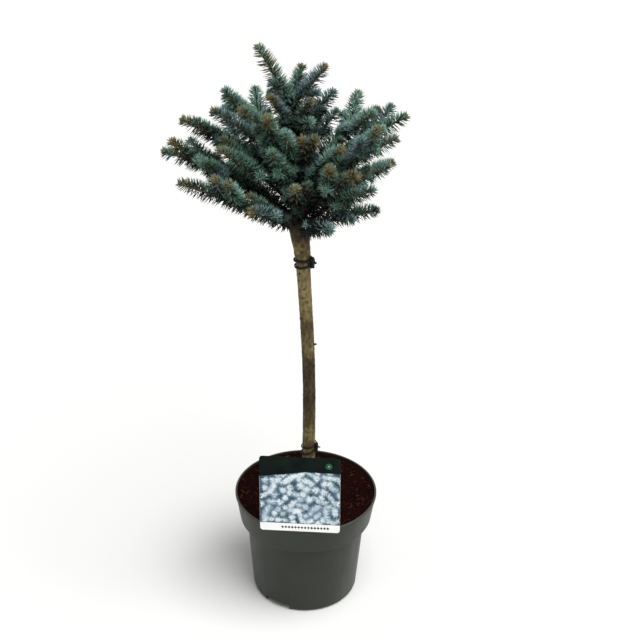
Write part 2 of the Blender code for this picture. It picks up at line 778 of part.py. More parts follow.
def needles_of(arc, start, end, rng):
    """Roots, directions and lengths of a shoot's needles, spiralled round it by a fixed turn."""
    needles = []
    first = start + NEEDLE_START
    count = max(2, int((end - first) / NEEDLE_PITCH))
    offset = rng.uniform(0, 360)
    for number in range(count):
        along = first + (end - first) * number / count
        share = (along - start) / (end - start)
        tilt = math.radians(NEEDLE_FOOT_ANGLE + (NEEDLE_TIP_ANGLE - NEEDLE_FOOT_ANGLE) * share)
        roll = math.radians(offset + GOLDEN_ANGLE * number)
        ahead = direction_on(arc, along)
        side = ahead.cross(Vector((0.0, 0.0, 1.0))).normalized()
        up = side.cross(ahead)
        out = side * math.cos(roll) + up * math.sin(roll)
        direction = ahead * math.cos(tilt) + out * math.sin(tilt)
        length = NEEDLE_LENGTH * rng.uniform(*NEEDLE_LENGTHS)
        needles.append((point_on(arc, along), direction, length))
    needles.append((point_on(arc, end - BUD_LENGTH), direction_on(arc, end), 2 * BUD_LENGTH))
    return needles


def shoot_arcs(bough, rng):
    """Side shoots of a bough by turns to the left and right, each with a few places to try."""
    main = bough_arc(bough)
    shoots = []
    for number in range(bough.shoots):
        first_side = 1 if (number + len(bough.name)) % 2 else -1
        places = []
        for attempt in range(SHOOT_ATTEMPTS):
            side = first_side if attempt % 2 == 0 else -first_side
            share = SHOOT_FIRST + SHOOT_STEP * (number + rng.uniform(*SHOOT_SHIFTS) * attempt)
            along = main.length * share
            length = main.length * SHOOT_SHARE * rng.uniform(*SHOOT_LENGTHS)
            length *= SHOOT_SHORTENING ** attempt
            length = min(SHOOT_LONGEST, max(SHOOT_SHORTEST, length))
            spread = SHOOT_SPREAD * rng.uniform(*SHOOT_SPREADS)
            rise = main.rise + main.bend * share + rng.uniform(*SHOOT_RISES)
            foot = point_on(main, along)
            places.append(Arc(foot, main.azimuth + side * spread, rise, SHOOT_LIFT, length))
        shoots.append(places)
    return shoots


def crest_arcs():
    """The two shoots beside the crest's longest one, each with its one place."""
    main = bough_arc(CREST)
    shoots = []
    for along, azimuth, rise, length in CREST_SHOOTS:
        foot = point_on(main, along * MM)
        shoots.append([Arc(foot, azimuth, rise, CREST_SHOOT_LIFT, length * MM)])
    return shoots


def plan_foliage():
    """Settle every shoot and needle, each only where it keeps to its own mass's space."""
    rng = random.Random(SEED)
    growth = Growth()
    height = TRUNK_ROWS[0][0] * MM
    while height < TRUNK_ROWS[-1][0] * MM:
        growth.add(TRUNK_OWNER, [(trunk_point(height), trunk_radius(height))], 0)
        height += CHAIN_STEP
    crown = list(BOUGHS) + [CREST]
    for owner, bough in enumerate(crown):
        main = bough_arc(bough)
        bare = bough.bare * MM
        steps = range(int(bare / CHAIN_STEP))
        stem = [(point_on(main, step * CHAIN_STEP), limb_radius(bough, step * CHAIN_STEP))
                for step in steps]
        stem_owner = LIMB_OWNER if bough.bare >= SHORTEST_LIMB else owner
        growth.add(stem_owner, stem, 0)
        growth.add(owner, core_chain(main, bare, main.length - BUD_LENGTH, LIMB_TIP_RADIUS), 1)
    shoots = []
    for owner, bough in enumerate(crown):
        kept = []
        for places in crest_arcs() if bough is CREST else shoot_arcs(bough, rng):
            for arc in places:
                chain = core_chain(arc, 0.0, arc.length - BUD_LENGTH, LIMB_TIP_RADIUS)
                free = [ball for ball in chain if (ball[0] - arc.foot).length > CORE_SWELL]
                if growth.has_room(owner, free, SHOOT_ROOM, own_space=False):
                    kept.append(arc)
                    growth.add(owner, chain, 1)
                    break
        shoots.append(kept)
    sprays = []
    for owner, bough in enumerate(crown):
        main = bough_arc(bough)
        spans = [(main, bough.bare * MM)] + [(arc, 0.0) for arc in shoots[owner]]
        kept = []
        for arc, start in spans:
            for root, direction, length in needles_of(arc, start, arc.length - BUD_LENGTH, rng):
                if growth.has_room(owner, needle_samples(root, direction, length), NEEDLE_ROOM):
                    kept.append((root, direction, length))
        sprays.append((bough, shoots[owner], kept))
    return sprays


def make_mass(bough, shoots, needles, needle, trunk_room, plant):
    """One mass of foliage: its stem, its shoots and their needles, fused into one body."""
    main = bough_arc(bough)
    bare = bough.bare * MM
    has_limb = bough.bare >= SHORTEST_LIMB
    start = bare + GAP if has_limb else bare
    stem = [] if has_limb else [(0.0, LIMB_FOOT_RADIUS)]
    base = core_tube("foliage_" + bough.name, main, start, main.length - BUD_LENGTH,
                     LIMB_TIP_RADIUS, stem, MAIN_SIDES, plant)
    pieces = []
    for number, arc in enumerate(shoots):
        pieces.append(core_tube(f"shoot_{number}", arc, 0.0, arc.length - BUD_LENGTH,
                                LIMB_TIP_RADIUS, [], SHOOT_SIDES, plant))
    for number, (root, direction, length) in enumerate(needles):
        piece = place(f"needle_{number}", needle, plant)
        width = Matrix.Diagonal((NEEDLE_ROOT_RADIUS, NEEDLE_ROOT_RADIUS, length, 1.0))
        aim = direction.to_track_quat("Z", "Y").to_matrix().to_4x4()
        piece.matrix_world = Matrix.Translation(root) @ aim @ width
        pieces.append(piece)
    mass = fuse(base, pieces)
    if not has_limb:
        boolean(mass, "seat_on_trunk", "DIFFERENCE", trunk_room)
    return finish(mass, SPRAY_COLOUR, 0.7)


def main():
    """Build the pot, its soil, the trunk, the boughs and the foliage."""
    plant, cutters = empty_scene()
    make_pot(plant, cutters)
    make_soil(plant, cutters)
    make_trunk(plant)
    make_label(plant)
    for tie in TIES:
        make_tie(tie, plant)
    trunk_room = hide_as_cutter(trunk_tube("trunk_room", GAP, cutters))
    needle = needle_mesh()
    for bough, shoots, needles in plan_foliage():
        if bough.bare >= SHORTEST_LIMB:
            make_limb(bough, trunk_room, plant)
        make_mass(bough, shoots, needles, needle, trunk_room, plant)


main()
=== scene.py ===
# Potted blue spruce: a slow blue spruce grafted on a clear stem, in a moulded nursery pot with a
# care card. Each section dresses one kind of piece, from the ground up, and the needles come last.
# Lengths are metres, written as millimetres times MM: -Y is the front and +X the right from there.

import math
import random
from collections import namedtuple

import bmesh
import bpy
import numpy as np
from mathutils import Matrix, Vector, noise


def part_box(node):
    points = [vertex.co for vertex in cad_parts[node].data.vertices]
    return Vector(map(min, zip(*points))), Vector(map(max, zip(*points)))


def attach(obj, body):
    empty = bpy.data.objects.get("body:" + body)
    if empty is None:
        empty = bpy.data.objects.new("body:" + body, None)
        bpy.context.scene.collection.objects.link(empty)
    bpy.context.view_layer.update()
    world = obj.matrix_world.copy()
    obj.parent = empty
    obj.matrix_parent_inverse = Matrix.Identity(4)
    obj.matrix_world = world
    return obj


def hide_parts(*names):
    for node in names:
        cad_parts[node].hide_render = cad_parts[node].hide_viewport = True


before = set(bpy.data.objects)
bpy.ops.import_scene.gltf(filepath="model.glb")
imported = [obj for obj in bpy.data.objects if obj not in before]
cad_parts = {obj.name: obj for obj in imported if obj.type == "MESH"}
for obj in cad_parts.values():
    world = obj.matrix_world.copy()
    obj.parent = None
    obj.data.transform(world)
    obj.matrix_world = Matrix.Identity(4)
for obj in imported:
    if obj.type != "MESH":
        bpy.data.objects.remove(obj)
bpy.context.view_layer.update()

MM = 0.001


# Studio: the camera stands in front of the plant and above it, and looks down on crown and pot.
# The floor is pale painted board, lit by a pale room, by very soft light from high on the right
# that is even over the whole floor, and by a weak lamp at the left.

CAMERA_PLACE = Vector((17.6, -1426, 1188)) * MM
CAMERA_PITCH = 26.4
CAMERA_ROLL = 1.03
CAMERA_LENS = 60.75
FLOOR_SIZE = 24.0
FLOOR_PAINT = "#ececea"
ROOM_COLOUR = "#ffffff"
ROOM_STRENGTH = 0.36
HIGH_FROM = Vector((0.38, -0.32, 1.0))
HIGH_SPREAD = 50
HIGH_STRENGTH = 3.1
LEFT_PLACE = Vector((-3.0, -2.6, 2.2))
LEFT_SIZE = 2.0
LEFT_POWER = 16
LEFT_AIM = Vector((0.0, 0.0, 0.55))


def linear(code):
    """Linear colour of an sRGB hex code."""
    parts = [int(code[place:place + 2], 16) / 255 for place in (1, 3, 5)]
    return (*[part / 12.92 if part < 0.04045 else ((part + 0.055) / 1.055) ** 2.4
              for part in parts], 1.0)


def node(tree, kind, inputs=None, **settings):
    """Add a node with its settings and its inputs: values, sockets, or nodes for their result."""
    made = tree.nodes.new(kind)
    for name, value in settings.items():
        setattr(made, name, value)
    for name, value in (inputs or {}).items():
        socket = made.inputs[name] if isinstance(name, int) else next(
            found for found in made.inputs if found.enabled and found.name == name)
        if isinstance(value, bpy.types.Node):
            value = next(found for found in value.outputs if found.enabled)
        if isinstance(value, bpy.types.NodeSocket):
            tree.links.new(value, socket)
        else:
            socket.default_value = value
    return made


def material(name, finish, *values):
    """Material with a finish: a function that lays its nodes and gives the shader's inputs."""
    made = bpy.data.materials.new(name)
    made.use_nodes = True
    tree = made.node_tree
    tree.nodes.clear()
    place = node(tree, "ShaderNodeTexCoord").outputs["Object"]
    shader = node(tree, "ShaderNodeBsdfPrincipled", finish(tree, place, *values))
    node(tree, "ShaderNodeOutputMaterial", {"Surface": shader})
    return made


def put(name, data, matrix=Matrix()):
    """Put an object in the scene, with its data and its place."""
    obj = bpy.data.objects.new(name, data)
    obj.matrix_world = matrix
    bpy.context.scene.collection.objects.link(obj)
    return obj


def facing(direction):
    """Turn that points a light along a direction."""
    return direction.to_track_quat("-Z", "Y").to_matrix().to_4x4()


def painted_board(tree, place):
    """Emulsion on board: matte, with the faint mottle of a roller."""
    mottle = node(tree, "ShaderNodeTexNoise", {"Vector": place, "Scale": 1 / (8 * MM)})
    bump = node(tree, "ShaderNodeBump", {"Height": mottle, "Distance": 0.02 * MM})
    return {"Base Color": linear(FLOOR_PAINT), "Roughness": 0.9, "Specular IOR Level": 0.2,
            "Normal": bump}


bpy.ops.mesh.primitive_plane_add(size=FLOOR_SIZE)
floor = bpy.context.active_object
floor.name = "floor"
floor.data.materials.append(material("matte_emulsion", painted_board))

camera = put("camera", bpy.data.cameras.new("camera"), (
    Matrix.Translation(CAMERA_PLACE)
    @ Matrix.Rotation(math.radians(90 - CAMERA_PITCH), 4, "X")
    @ Matrix.Rotation(math.radians(CAMERA_ROLL), 4, "Z")))
camera.data.lens = CAMERA_LENS
bpy.context.scene.camera = camera

world = bpy.data.worlds.new("pale_room")
world.use_nodes = True
room = world.node_tree.nodes["Background"].inputs
room["Color"].default_value = linear(ROOM_COLOUR)
room["Strength"].default_value = ROOM_STRENGTH
bpy.context.scene.world = world
bpy.context.scene.view_settings.view_transform = "Standard"

high = put("light_high", bpy.data.lights.new("light_high", "SUN"), facing(-HIGH_FROM))
high.data.energy = HIGH_STRENGTH
high.data.angle = math.radians(HIGH_SPREAD)
left = put("lamp_left", bpy.data.lights.new("lamp_left", "AREA"),
           Matrix.Translation(LEFT_PLACE) @ facing(LEFT_AIM - LEFT_PLACE))
left.data.shape = "DISK"
left.data.size = LEFT_SIZE
left.data.energy = LEFT_POWER


# Pot: a thin round nursery pot, injection moulded in recycled polypropylene. A deep band under the
# rim stacks on the shoulder of the next pot, and water leaves by six holes and two foot notches.

POT_HEIGHT = 179 * MM
RIM_RADIUS = 112.5 * MM
LIP_HEIGHT = 3 * MM
LIP_DEPTH = 1.2 * MM
BAND_FOOT = POT_HEIGHT - 43.6 * MM
BAND_FOOT_RADIUS = 105.2 * MM
SHOULDER_DROP = 10 * MM
BODY_TOP_RADIUS = 94 * MM
BODY_FOOT_RADIUS = 84.2 * MM
FOOT_ROUNDING = 7 * MM
WALL = 1.6 * MM
POT_FLOOR = 1.8 * MM
RING_RADIUS = 62 * MM
PAD_RADIUS = 15 * MM
RECESS = 4.5 * MM
RECESS_SLOPE = 2 * MM
GATE_RADIUS = 4 * MM
GATE_DEPTH = 0.6 * MM
POT_STEPS = 180
CORNER_STEPS = 4
NOTCH_AZIMUTHS = (-121, 59)
NOTCH_WIDTH = 45 * MM
NOTCH_HEIGHT = 9.5 * MM
NOTCH_BELOW = 10 * MM
DRAIN_COUNT = 6
DRAIN_SIDES = 24
DRAIN_RADIUS = 4 * MM
DRAIN_CIRCLE = 40 * MM
SEAM = 0.02 * MM
SMOOTH_ANGLE = math.radians(35)


def mesh_of(name, shape):
    """Mesh of a bmesh, which is then freed."""
    mesh = bpy.data.meshes.new(name)
    shape.to_mesh(mesh)
    shape.free()
    return mesh


def rounded_profile(corners):
    """Points of a profile whose corners (radius, height, rounding) are turned into arcs."""
    points = []
    for index, (radius, height, rounding) in enumerate(corners):
        corner = Vector((radius, height))
        if rounding == 0:
            points.append(corner)
            continue
        before = (Vector(corners[index - 1][:2]) - corner).normalized()
        after = (Vector(corners[index + 1][:2]) - corner).normalized()
        half = before.angle(after) / 2
        centre = corner + (before + after).normalized() * rounding / math.sin(half)
        start = corner + before * rounding / math.tan(half) - centre
        end = corner + after * rounding / math.tan(half) - centre
        for step in range(CORNER_STEPS + 1):
            points.append(centre + start.slerp(end, step / CORNER_STEPS) * rounding)
    return points


def turned(name, profile):
    """Solid turned about Z from points (radius, height) that run down its outer side."""
    shape = bmesh.new()
    verts = [shape.verts.new((max(0.0, radius), 0.0, height)) for radius, height in profile]
    for pair in zip(verts, verts[1:]):
        shape.edges.new(pair)
    obj = put(name, mesh_of(name, shape))
    screw = obj.modifiers.new("turn", "SCREW")
    screw.steps = screw.render_steps = POT_STEPS
    screw.use_merge_vertices = True
    screw.merge_threshold = SEAM
    return bake(obj)


def bake(obj):
    """Work out an object's modifiers into its mesh."""
    bpy.context.view_layer.update()
    depsgraph = bpy.context.evaluated_depsgraph_get()
    obj.data = bpy.data.meshes.new_from_object(obj.evaluated_get(depsgraph), depsgraph=depsgraph)
    obj.modifiers.clear()
    return obj


def cut(obj, cutters):
    """Cut other solids out of an object and remove them."""
    for cutter in cutters:
        modifier = obj.modifiers.new("cut", "BOOLEAN")
        modifier.operation = "DIFFERENCE"
        modifier.solver = "EXACT"
        modifier.object = cutter
    bake(obj)
    for cutter in cutters:
        bpy.data.objects.remove(cutter, do_unlink=True)
    return obj


def notch_box(azimuth, wall):
    """Block of a notch in the pot's foot, grown by a wall on its three inner sides."""
    inner = RING_RADIUS - RECESS_SLOPE / 2 - wall
    high = NOTCH_HEIGHT + wall
    size = (RIM_RADIUS - inner, NOTCH_WIDTH + 2 * wall, high + NOTCH_BELOW, 1.0)
    middle = ((inner + RIM_RADIUS) / 2, 0.0, (high - NOTCH_BELOW) / 2)
    shape = bmesh.new()
    bmesh.ops.create_cube(shape, size=1.0, matrix=Matrix.Rotation(math.radians(azimuth), 4, "Z")
                          @ Matrix.Translation(middle) @ Matrix.Diagonal(size))
    return put("notch", mesh_of("notch", shape))


def drain_hole(azimuth):
    """Upright cylinder of one drain hole."""
    turn = math.radians(azimuth)
    centre = Vector((math.cos(turn), math.sin(turn), 0.0)) * DRAIN_CIRCLE
    shape = bmesh.new()
    bmesh.ops.create_cone(shape, cap_ends=True, segments=DRAIN_SIDES, radius1=DRAIN_RADIUS,
                          radius2=DRAIN_RADIUS, depth=4 * RECESS,
                          matrix=Matrix.Translation(centre))
    return put("drain", mesh_of("drain", shape))


def toned(tree, value, low, high, start=0.0, end=1.0):
    """Result between two colours or results, by how far a value is from start to end."""
    share = node(tree, "ShaderNodeMapRange", {"Value": value, "From Min": start, "From Max": end})
    return node(tree, "ShaderNodeMix", {"Factor": share, "A": low, "B": high}, data_type="RGBA")


def recycled_polypropylene(tree, place):
    """Recycled polypropylene: dark grey green, satin, with water marks, a scuffed rim and painted
    shade under the band.
    """
    tall = node(tree, "ShaderNodeMapping", {"Vector": place, "Scale": (1.0, 1.0, 0.12)})
    streaks = node(tree, "ShaderNodeTexNoise", {
        "Vector": tall, "Scale": 1 / (14 * MM), "Detail": 5, "Roughness": 0.6})
    clouds = node(tree, "ShaderNodeTexNoise", {"Vector": place, "Scale": 1 / (45 * MM), "Detail": 3})
    scratches = node(tree, "ShaderNodeTexNoise", {
        "Vector": place, "Scale": 1 / (3 * MM), "Detail": 6, "Roughness": 0.7})
    marks = node(tree, "ShaderNodeMapRange", {
        "Value": streaks, "From Min": 0.52, "From Max": 0.74, "To Max": 0.42})
    height = node(tree, "ShaderNodeSeparateXYZ", {"Vector": place}).outputs["Z"]
    # Painted shade: a near-black band on the shoulder under the band's foot, where the crease lies
    # in shadow.
    below = node(tree, "ShaderNodeMath", {0: height, 1: BAND_FOOT - SHOULDER_DROP / 2},
                 operation="SUBTRACT")
    away = node(tree, "ShaderNodeMath", {0: below}, operation="ABSOLUTE")
    crease_shade = node(tree, "ShaderNodeMapRange", {
        "Value": away, "From Min": 0.5 * MM, "From Max": 6 * MM, "To Min": 0.85, "To Max": 0.0})
    rim = node(tree, "ShaderNodeMapRange", {
        "Value": height, "From Min": POT_HEIGHT - 1.6 * MM, "From Max": POT_HEIGHT})
    worn = node(tree, "ShaderNodeMath", {0: rim, 1: scratches}, operation="MULTIPLY")
    colour = linear("#252a24")
    # The near black laid over the crease is painted shade.
    for share, over in ((clouds, "#30332d"), (marks, "#36382f"), (crease_shade, "#111412"),
                        (worn, "#5c5e56")):
        colour = toned(tree, share, colour, linear(over))
    gloss = node(tree, "ShaderNodeMapRange", {
        "Value": streaks, "From Min": 0.3, "From Max": 0.7, "To Min": 0.34, "To Max": 0.5})
    bump = node(tree, "ShaderNodeBump", {
        "Height": scratches, "Distance": 0.05 * MM, "Strength": 0.6})
    return {"Base Color": colour, "Roughness": gloss, "IOR": 1.49, "Specular IOR Level": 0.22,
            "Normal": bump}


outside = rounded_profile([
    (0.0, POT_HEIGHT, 0),
    (RIM_RADIUS, POT_HEIGHT, 0.8 * MM),
    (RIM_RADIUS, POT_HEIGHT - LIP_HEIGHT, 0.5 * MM),
    (RIM_RADIUS - LIP_DEPTH, POT_HEIGHT - LIP_HEIGHT - LIP_DEPTH, 1.0 * MM),
    (BAND_FOOT_RADIUS, BAND_FOOT, 1.1 * MM),
    (BODY_TOP_RADIUS, BAND_FOOT - SHOULDER_DROP, 3.0 * MM),
    (BODY_FOOT_RADIUS, 0.0, FOOT_ROUNDING),
    (RING_RADIUS, 0.0, 0.8 * MM),
    (RING_RADIUS - RECESS_SLOPE, RECESS, 1.0 * MM),
    (PAD_RADIUS + RECESS_SLOPE, RECESS, 1.0 * MM),
    (PAD_RADIUS, 0.0, 0.8 * MM),
    (GATE_RADIUS, 0.0, 0),
    (GATE_RADIUS, GATE_DEPTH, 0),
    (0.0, GATE_DEPTH, 0)])
inside = rounded_profile([
    (0.0, POT_HEIGHT + WALL, 0),
    (RIM_RADIUS - LIP_DEPTH - WALL, POT_HEIGHT + WALL, 0),
    (RIM_RADIUS - LIP_DEPTH - WALL, POT_HEIGHT - LIP_HEIGHT, 1.0 * MM),
    (BAND_FOOT_RADIUS - WALL, BAND_FOOT + WALL / 2, 1.0 * MM),
    (BODY_TOP_RADIUS - WALL, BAND_FOOT - SHOULDER_DROP + WALL / 2, 2.0 * MM),
    (BODY_FOOT_RADIUS - WALL, POT_FLOOR, FOOT_ROUNDING - WALL),
    (RING_RADIUS + WALL, POT_FLOOR, 0),
    (RING_RADIUS - RECESS_SLOPE + WALL, RECESS + POT_FLOOR, 0),
    (PAD_RADIUS + RECESS_SLOPE - WALL, RECESS + POT_FLOOR, 0),
    (PAD_RADIUS - WALL, POT_FLOOR, 0),
    (0.0, POT_FLOOR, 0)])
hollow = cut(turned("hollow", inside), [notch_box(azimuth, WALL) for azimuth in NOTCH_AZIMUTHS])
pot = turned("pot_shell", outside)
drains = [drain_hole(number * 360 / DRAIN_COUNT) for number in range(DRAIN_COUNT)]
cut(pot, [hollow] + [notch_box(azimuth, 0.0) for azimuth in NOTCH_AZIMUTHS] + drains)
pot.data.shade_smooth()
pot.data.set_sharp_from_angle(angle=SMOOTH_ANGLE)
pot.data.materials.append(material("moulded_polypropylene", recycled_polypropylene))
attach(pot, "root")
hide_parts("pot")


# Soil: damp peat that fills the pot almost to the rim, a little lower at the wall where it has
# shrunk. Chips of composted bark and crumbs of peat lie all over it.

SOIL_TOP = 177 * MM
SOIL_FLAT_RADIUS = 30 * MM
SOIL_SHOULDER_RADIUS = 88 * MM
SOIL_SHOULDER_DROP = 0.6 * MM
SOIL_EDGE_DROP = 0.8 * MM
SOIL_EDGE_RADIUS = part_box("soil")[1].x
SOIL_SECTORS = 256
SOIL_RINGS = 64
SOIL_LUMP = 9 * MM
SOIL_LUMP_HEIGHT = 1.6 * MM
SOIL_CRUMB = 2.6 * MM
SOIL_CRUMB_HEIGHT = 0.9 * MM
SOIL_FINER = 2.3
SOIL_SEED = 5


def joined_mesh(name, verts, faces, tones=None):
    """Mesh of many triangles from arrays of corners and faces, with a material number each."""
    mesh = bpy.data.meshes.new(name)
    mesh.vertices.add(len(verts))
    mesh.vertices.foreach_set("co", np.ascontiguousarray(verts, np.float32).ravel())
    mesh.loops.add(faces.size)
    mesh.loops.foreach_set("vertex_index", np.ascontiguousarray(faces, np.int32).ravel())
    mesh.polygons.add(len(faces))
    mesh.polygons.foreach_set("loop_start", np.arange(0, faces.size, 3, dtype=np.int32))
    if tones is not None:
        mesh.polygons.foreach_set("material_index", np.ascontiguousarray(tones, np.int32))
    mesh.update(calc_edges=True)
    return mesh


def grid_faces(rings, sectors):
    """Triangles between rings of corners that follow each other, turned outwards."""
    ring, sector = np.meshgrid(np.arange(rings - 1), np.arange(sectors), indexing="ij")
    here = ring * sectors + sector
    after = ring * sectors + (sector + 1) % sectors
    return np.concatenate([np.stack([here, after, after + sectors], -1),
                           np.stack([here, after + sectors, here + sectors], -1)]).reshape(-1, 3)


def capped(rings):
    """Corners and triangles of a stack of rings, closed with a middle point at each end."""
    sectors = len(rings[0])
    count = len(rings) * sectors
    here = np.arange(sectors)
    after = (here + 1) % sectors
    low = np.stack([after, here, np.full(sectors, count)], -1)
    high = np.stack([count - sectors + here, count - sectors + after,
                     np.full(sectors, count + 1)], -1)
    ends = np.mean(rings[0], 0), np.mean(rings[-1], 0)
    return (np.concatenate([rings.reshape(-1, 3), ends]),
            np.concatenate([grid_faces(len(rings), sectors), low, high]))


def piece_of(mesh, *finishes):
    """Put a mesh in the scene under its own name, in its materials."""
    for finish in finishes:
        mesh.materials.append(finish)
    return put(mesh.name, mesh)


def soil_height(x, y):
    """Height of the soil's surface: its dome, its lumps, its crumbs and their crumbs."""
    dome = float(np.interp(math.hypot(x, y), (SOIL_FLAT_RADIUS, SOIL_SHOULDER_RADIUS,
                                              SOIL_EDGE_RADIUS),
                           (0.0, -SOIL_SHOULDER_DROP, -SOIL_EDGE_DROP)))
    lumps = noise.noise(Vector((x, y, 0.0)) / SOIL_LUMP) * SOIL_LUMP_HEIGHT
    crumbs = noise.noise(Vector((x, y, 1.0)) / SOIL_CRUMB) * SOIL_CRUMB_HEIGHT
    fine = noise.noise(Vector((x, y, 2.0)) / SOIL_CRUMB * SOIL_FINER) * SOIL_CRUMB_HEIGHT / 2
    return SOIL_TOP + dome + lumps + crumbs + fine


def peat(tree, place, dark, light):
    """Damp peat or bark: matte, almost black brown, paler where its grain has dried."""
    grain = node(tree, "ShaderNodeTexNoise", {
        "Vector": place, "Scale": 1 / (2.5 * MM), "Detail": 6, "Roughness": 0.7})
    colour = toned(tree, grain, linear(dark), linear(light), 0.38, 0.68)
    bump = node(tree, "ShaderNodeBump", {"Height": grain, "Distance": 0.5 * MM, "Strength": 0.9})
    return {"Base Color": colour, "Roughness": 0.9, "Specular IOR Level": 0.05, "Normal": bump}


sector_turns = np.linspace(0, 2 * math.pi, SOIL_SECTORS, endpoint=False)
soil_rows = []
for radius in np.linspace(0.6 * MM, SOIL_EDGE_RADIUS, SOIL_RINGS):
    row = [(radius * math.cos(turn), radius * math.sin(turn)) for turn in sector_turns]
    soil_rows.append([(x, y, soil_height(x, y)) for x, y in row])
for radius, height in ((BAND_FOOT_RADIUS - 2 * WALL, BAND_FOOT + 2 * WALL),
                       (BODY_TOP_RADIUS - 2 * WALL, BAND_FOOT - SHOULDER_DROP),
                       (BODY_FOOT_RADIUS - 2 * WALL, NOTCH_HEIGHT + 2 * WALL),
                       (RING_RADIUS - 2 * WALL, NOTCH_HEIGHT + 2 * WALL),
                       (RING_RADIUS - 3 * WALL, RECESS + 2 * POT_FLOOR)):
    soil_rows.append([(radius * math.cos(turn), radius * math.sin(turn), height)
                      for turn in sector_turns])
soil_mesh = joined_mesh("potting_mix", *capped(np.array(soil_rows[::-1])))
soil_mesh.shade_smooth()
soil = piece_of(soil_mesh, material("damp_peat", peat, "#0d0302", "#1f0805"))
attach(soil, "root")
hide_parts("soil")

# The litter on the soil: chips are split prisms of bark, crumbs are rough lumps and fibres are
# thin slivers. They lie at every angle, half pressed in, and each has one of four tones.

Litter = namedtuple("Litter", "count lengths widths thicknesses tilt pattern")
LITTER = (
    Litter(700, (3.5, 10), (2.0, 5.5), (1.0, 2.4), 28, "prism"),
    Litter(2300, (1.0, 3.2), (0.9, 2.6), (0.8, 2.0), 90, "lump"),
    Litter(120, (8, 16), (0.5, 0.9), (0.4, 0.7), 14, "prism"),
)
LITTER_TONES = (0.46, 0.36, 0.165, 0.015)
LITTER_SINK = 0.25
LITTER_ROUGHNESS = 0.13
LITTER_CLEARANCE = 0.3 * MM
LITTER_MIDDLE = 0.02


def shape_arrays(shape):
    """Corners and triangles of a small bmesh, which is then freed."""
    bmesh.ops.triangulate(shape, faces=shape.faces)
    shape.verts.index_update()
    verts = np.array([vert.co for vert in shape.verts])
    faces = np.array([[vert.index for vert in face.verts] for face in shape.faces])
    shape.free()
    return verts, faces


def turns_about(axis, angles):
    """Rotation matrices about one axis, one for each angle."""
    matrices = np.zeros((len(angles), 3, 3))
    first, second = (axis + 1) % 3, (axis + 2) % 3
    matrices[:, axis, axis] = 1
    matrices[:, first, first] = matrices[:, second, second] = np.cos(angles)
    matrices[:, second, first] = np.sin(angles)
    matrices[:, first, second] = -np.sin(angles)
    return matrices


def many(pattern, placed):
    """Corners and triangles of a pattern's copies, whose corners are already in place."""
    starts = np.arange(len(placed)) * len(pattern[0])
    return placed.reshape(-1, 3), (pattern[1][None] + starts[:, None, None]).reshape(-1, 3)


def stacked(parts):
    """Corners and triangles of several arrays of them as one."""
    starts = np.cumsum([0] + [len(verts) for verts, faces in parts])
    return (np.concatenate([verts for verts, faces in parts]),
            np.concatenate([faces + start for (verts, faces), start in zip(parts, starts)]))


prism = bmesh.new()
bmesh.ops.create_cone(prism, cap_ends=True, segments=6, radius1=0.5, radius2=0.42, depth=1.0,
                      matrix=Matrix.Rotation(math.radians(90), 4, "Y"))
lump = bmesh.new()
bmesh.ops.create_icosphere(lump, subdivisions=1, radius=0.5)
patterns = {"prism": shape_arrays(prism), "lump": shape_arrays(lump)}
litter_rng = np.random.default_rng(SOIL_SEED)
litter_parts = []
litter_tones = []
for kind in LITTER:
    radius = (SOIL_EDGE_RADIUS - 1 * MM) * np.sqrt(litter_rng.uniform(LITTER_MIDDLE, 1, kind.count))
    around = litter_rng.uniform(0, 2 * math.pi, kind.count)
    bent = litter_rng.random(kind.count) ** 2
    scale = np.stack([np.interp(bent, (0, 1), limits) * MM for limits in
                      (kind.lengths, kind.widths, kind.thicknesses)], -1)
    scale[:, 2] = litter_rng.uniform(*kind.thicknesses, kind.count) * MM
    centre = np.stack([radius * np.cos(around), radius * np.sin(around), radius * 0], -1)
    centre[:, 2] = [soil_height(x, y) for x, y in centre[:, :2]]
    centre[:, 2] += LITTER_SINK * scale[:, 2]
    tilt = math.radians(kind.tilt)
    turn = turns_about(2, litter_rng.uniform(0, 2 * math.pi, kind.count))
    for axis in (0, 1):
        turn = turn @ turns_about(axis, litter_rng.uniform(-tilt, tilt, kind.count))
    verts, faces = patterns[kind.pattern]
    rough = litter_rng.uniform(-LITTER_ROUGHNESS, LITTER_ROUGHNESS, (kind.count, *verts.shape))
    corners = np.einsum("nij,nkj->nki", turn, (verts + rough) * scale[:, None]) + centre[:, None]
    reach = np.linalg.norm(corners[..., :2], axis=2).max(axis=1)
    corners = corners[reach < SOIL_EDGE_RADIUS - LITTER_CLEARANCE]
    litter_parts.append(many((verts, faces), corners))
    tone = litter_rng.choice(len(LITTER_TONES), len(corners), p=LITTER_TONES)
    litter_tones.append(np.repeat(tone, len(faces)))
litter = piece_of(
    joined_mesh("bark_chips", *stacked(litter_parts), np.concatenate(litter_tones)),
    *[material(name, peat, dark, light) for name, dark, light in (
        ("bark_dark", "#120605", "#280e09"), ("bark_red", "#1b0907", "#33140c"),
        ("bark_brown", "#2f140c", "#4c2416"), ("bark_pale", "#4c2e20", "#6a4631"))])
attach(litter, "root")


# Stem: the clear trunk of the rootstock, with thin scaly bark, scars where its twigs were pruned,
# and the swelling of the graft under the crown, where the leader of the blue spruce takes over.

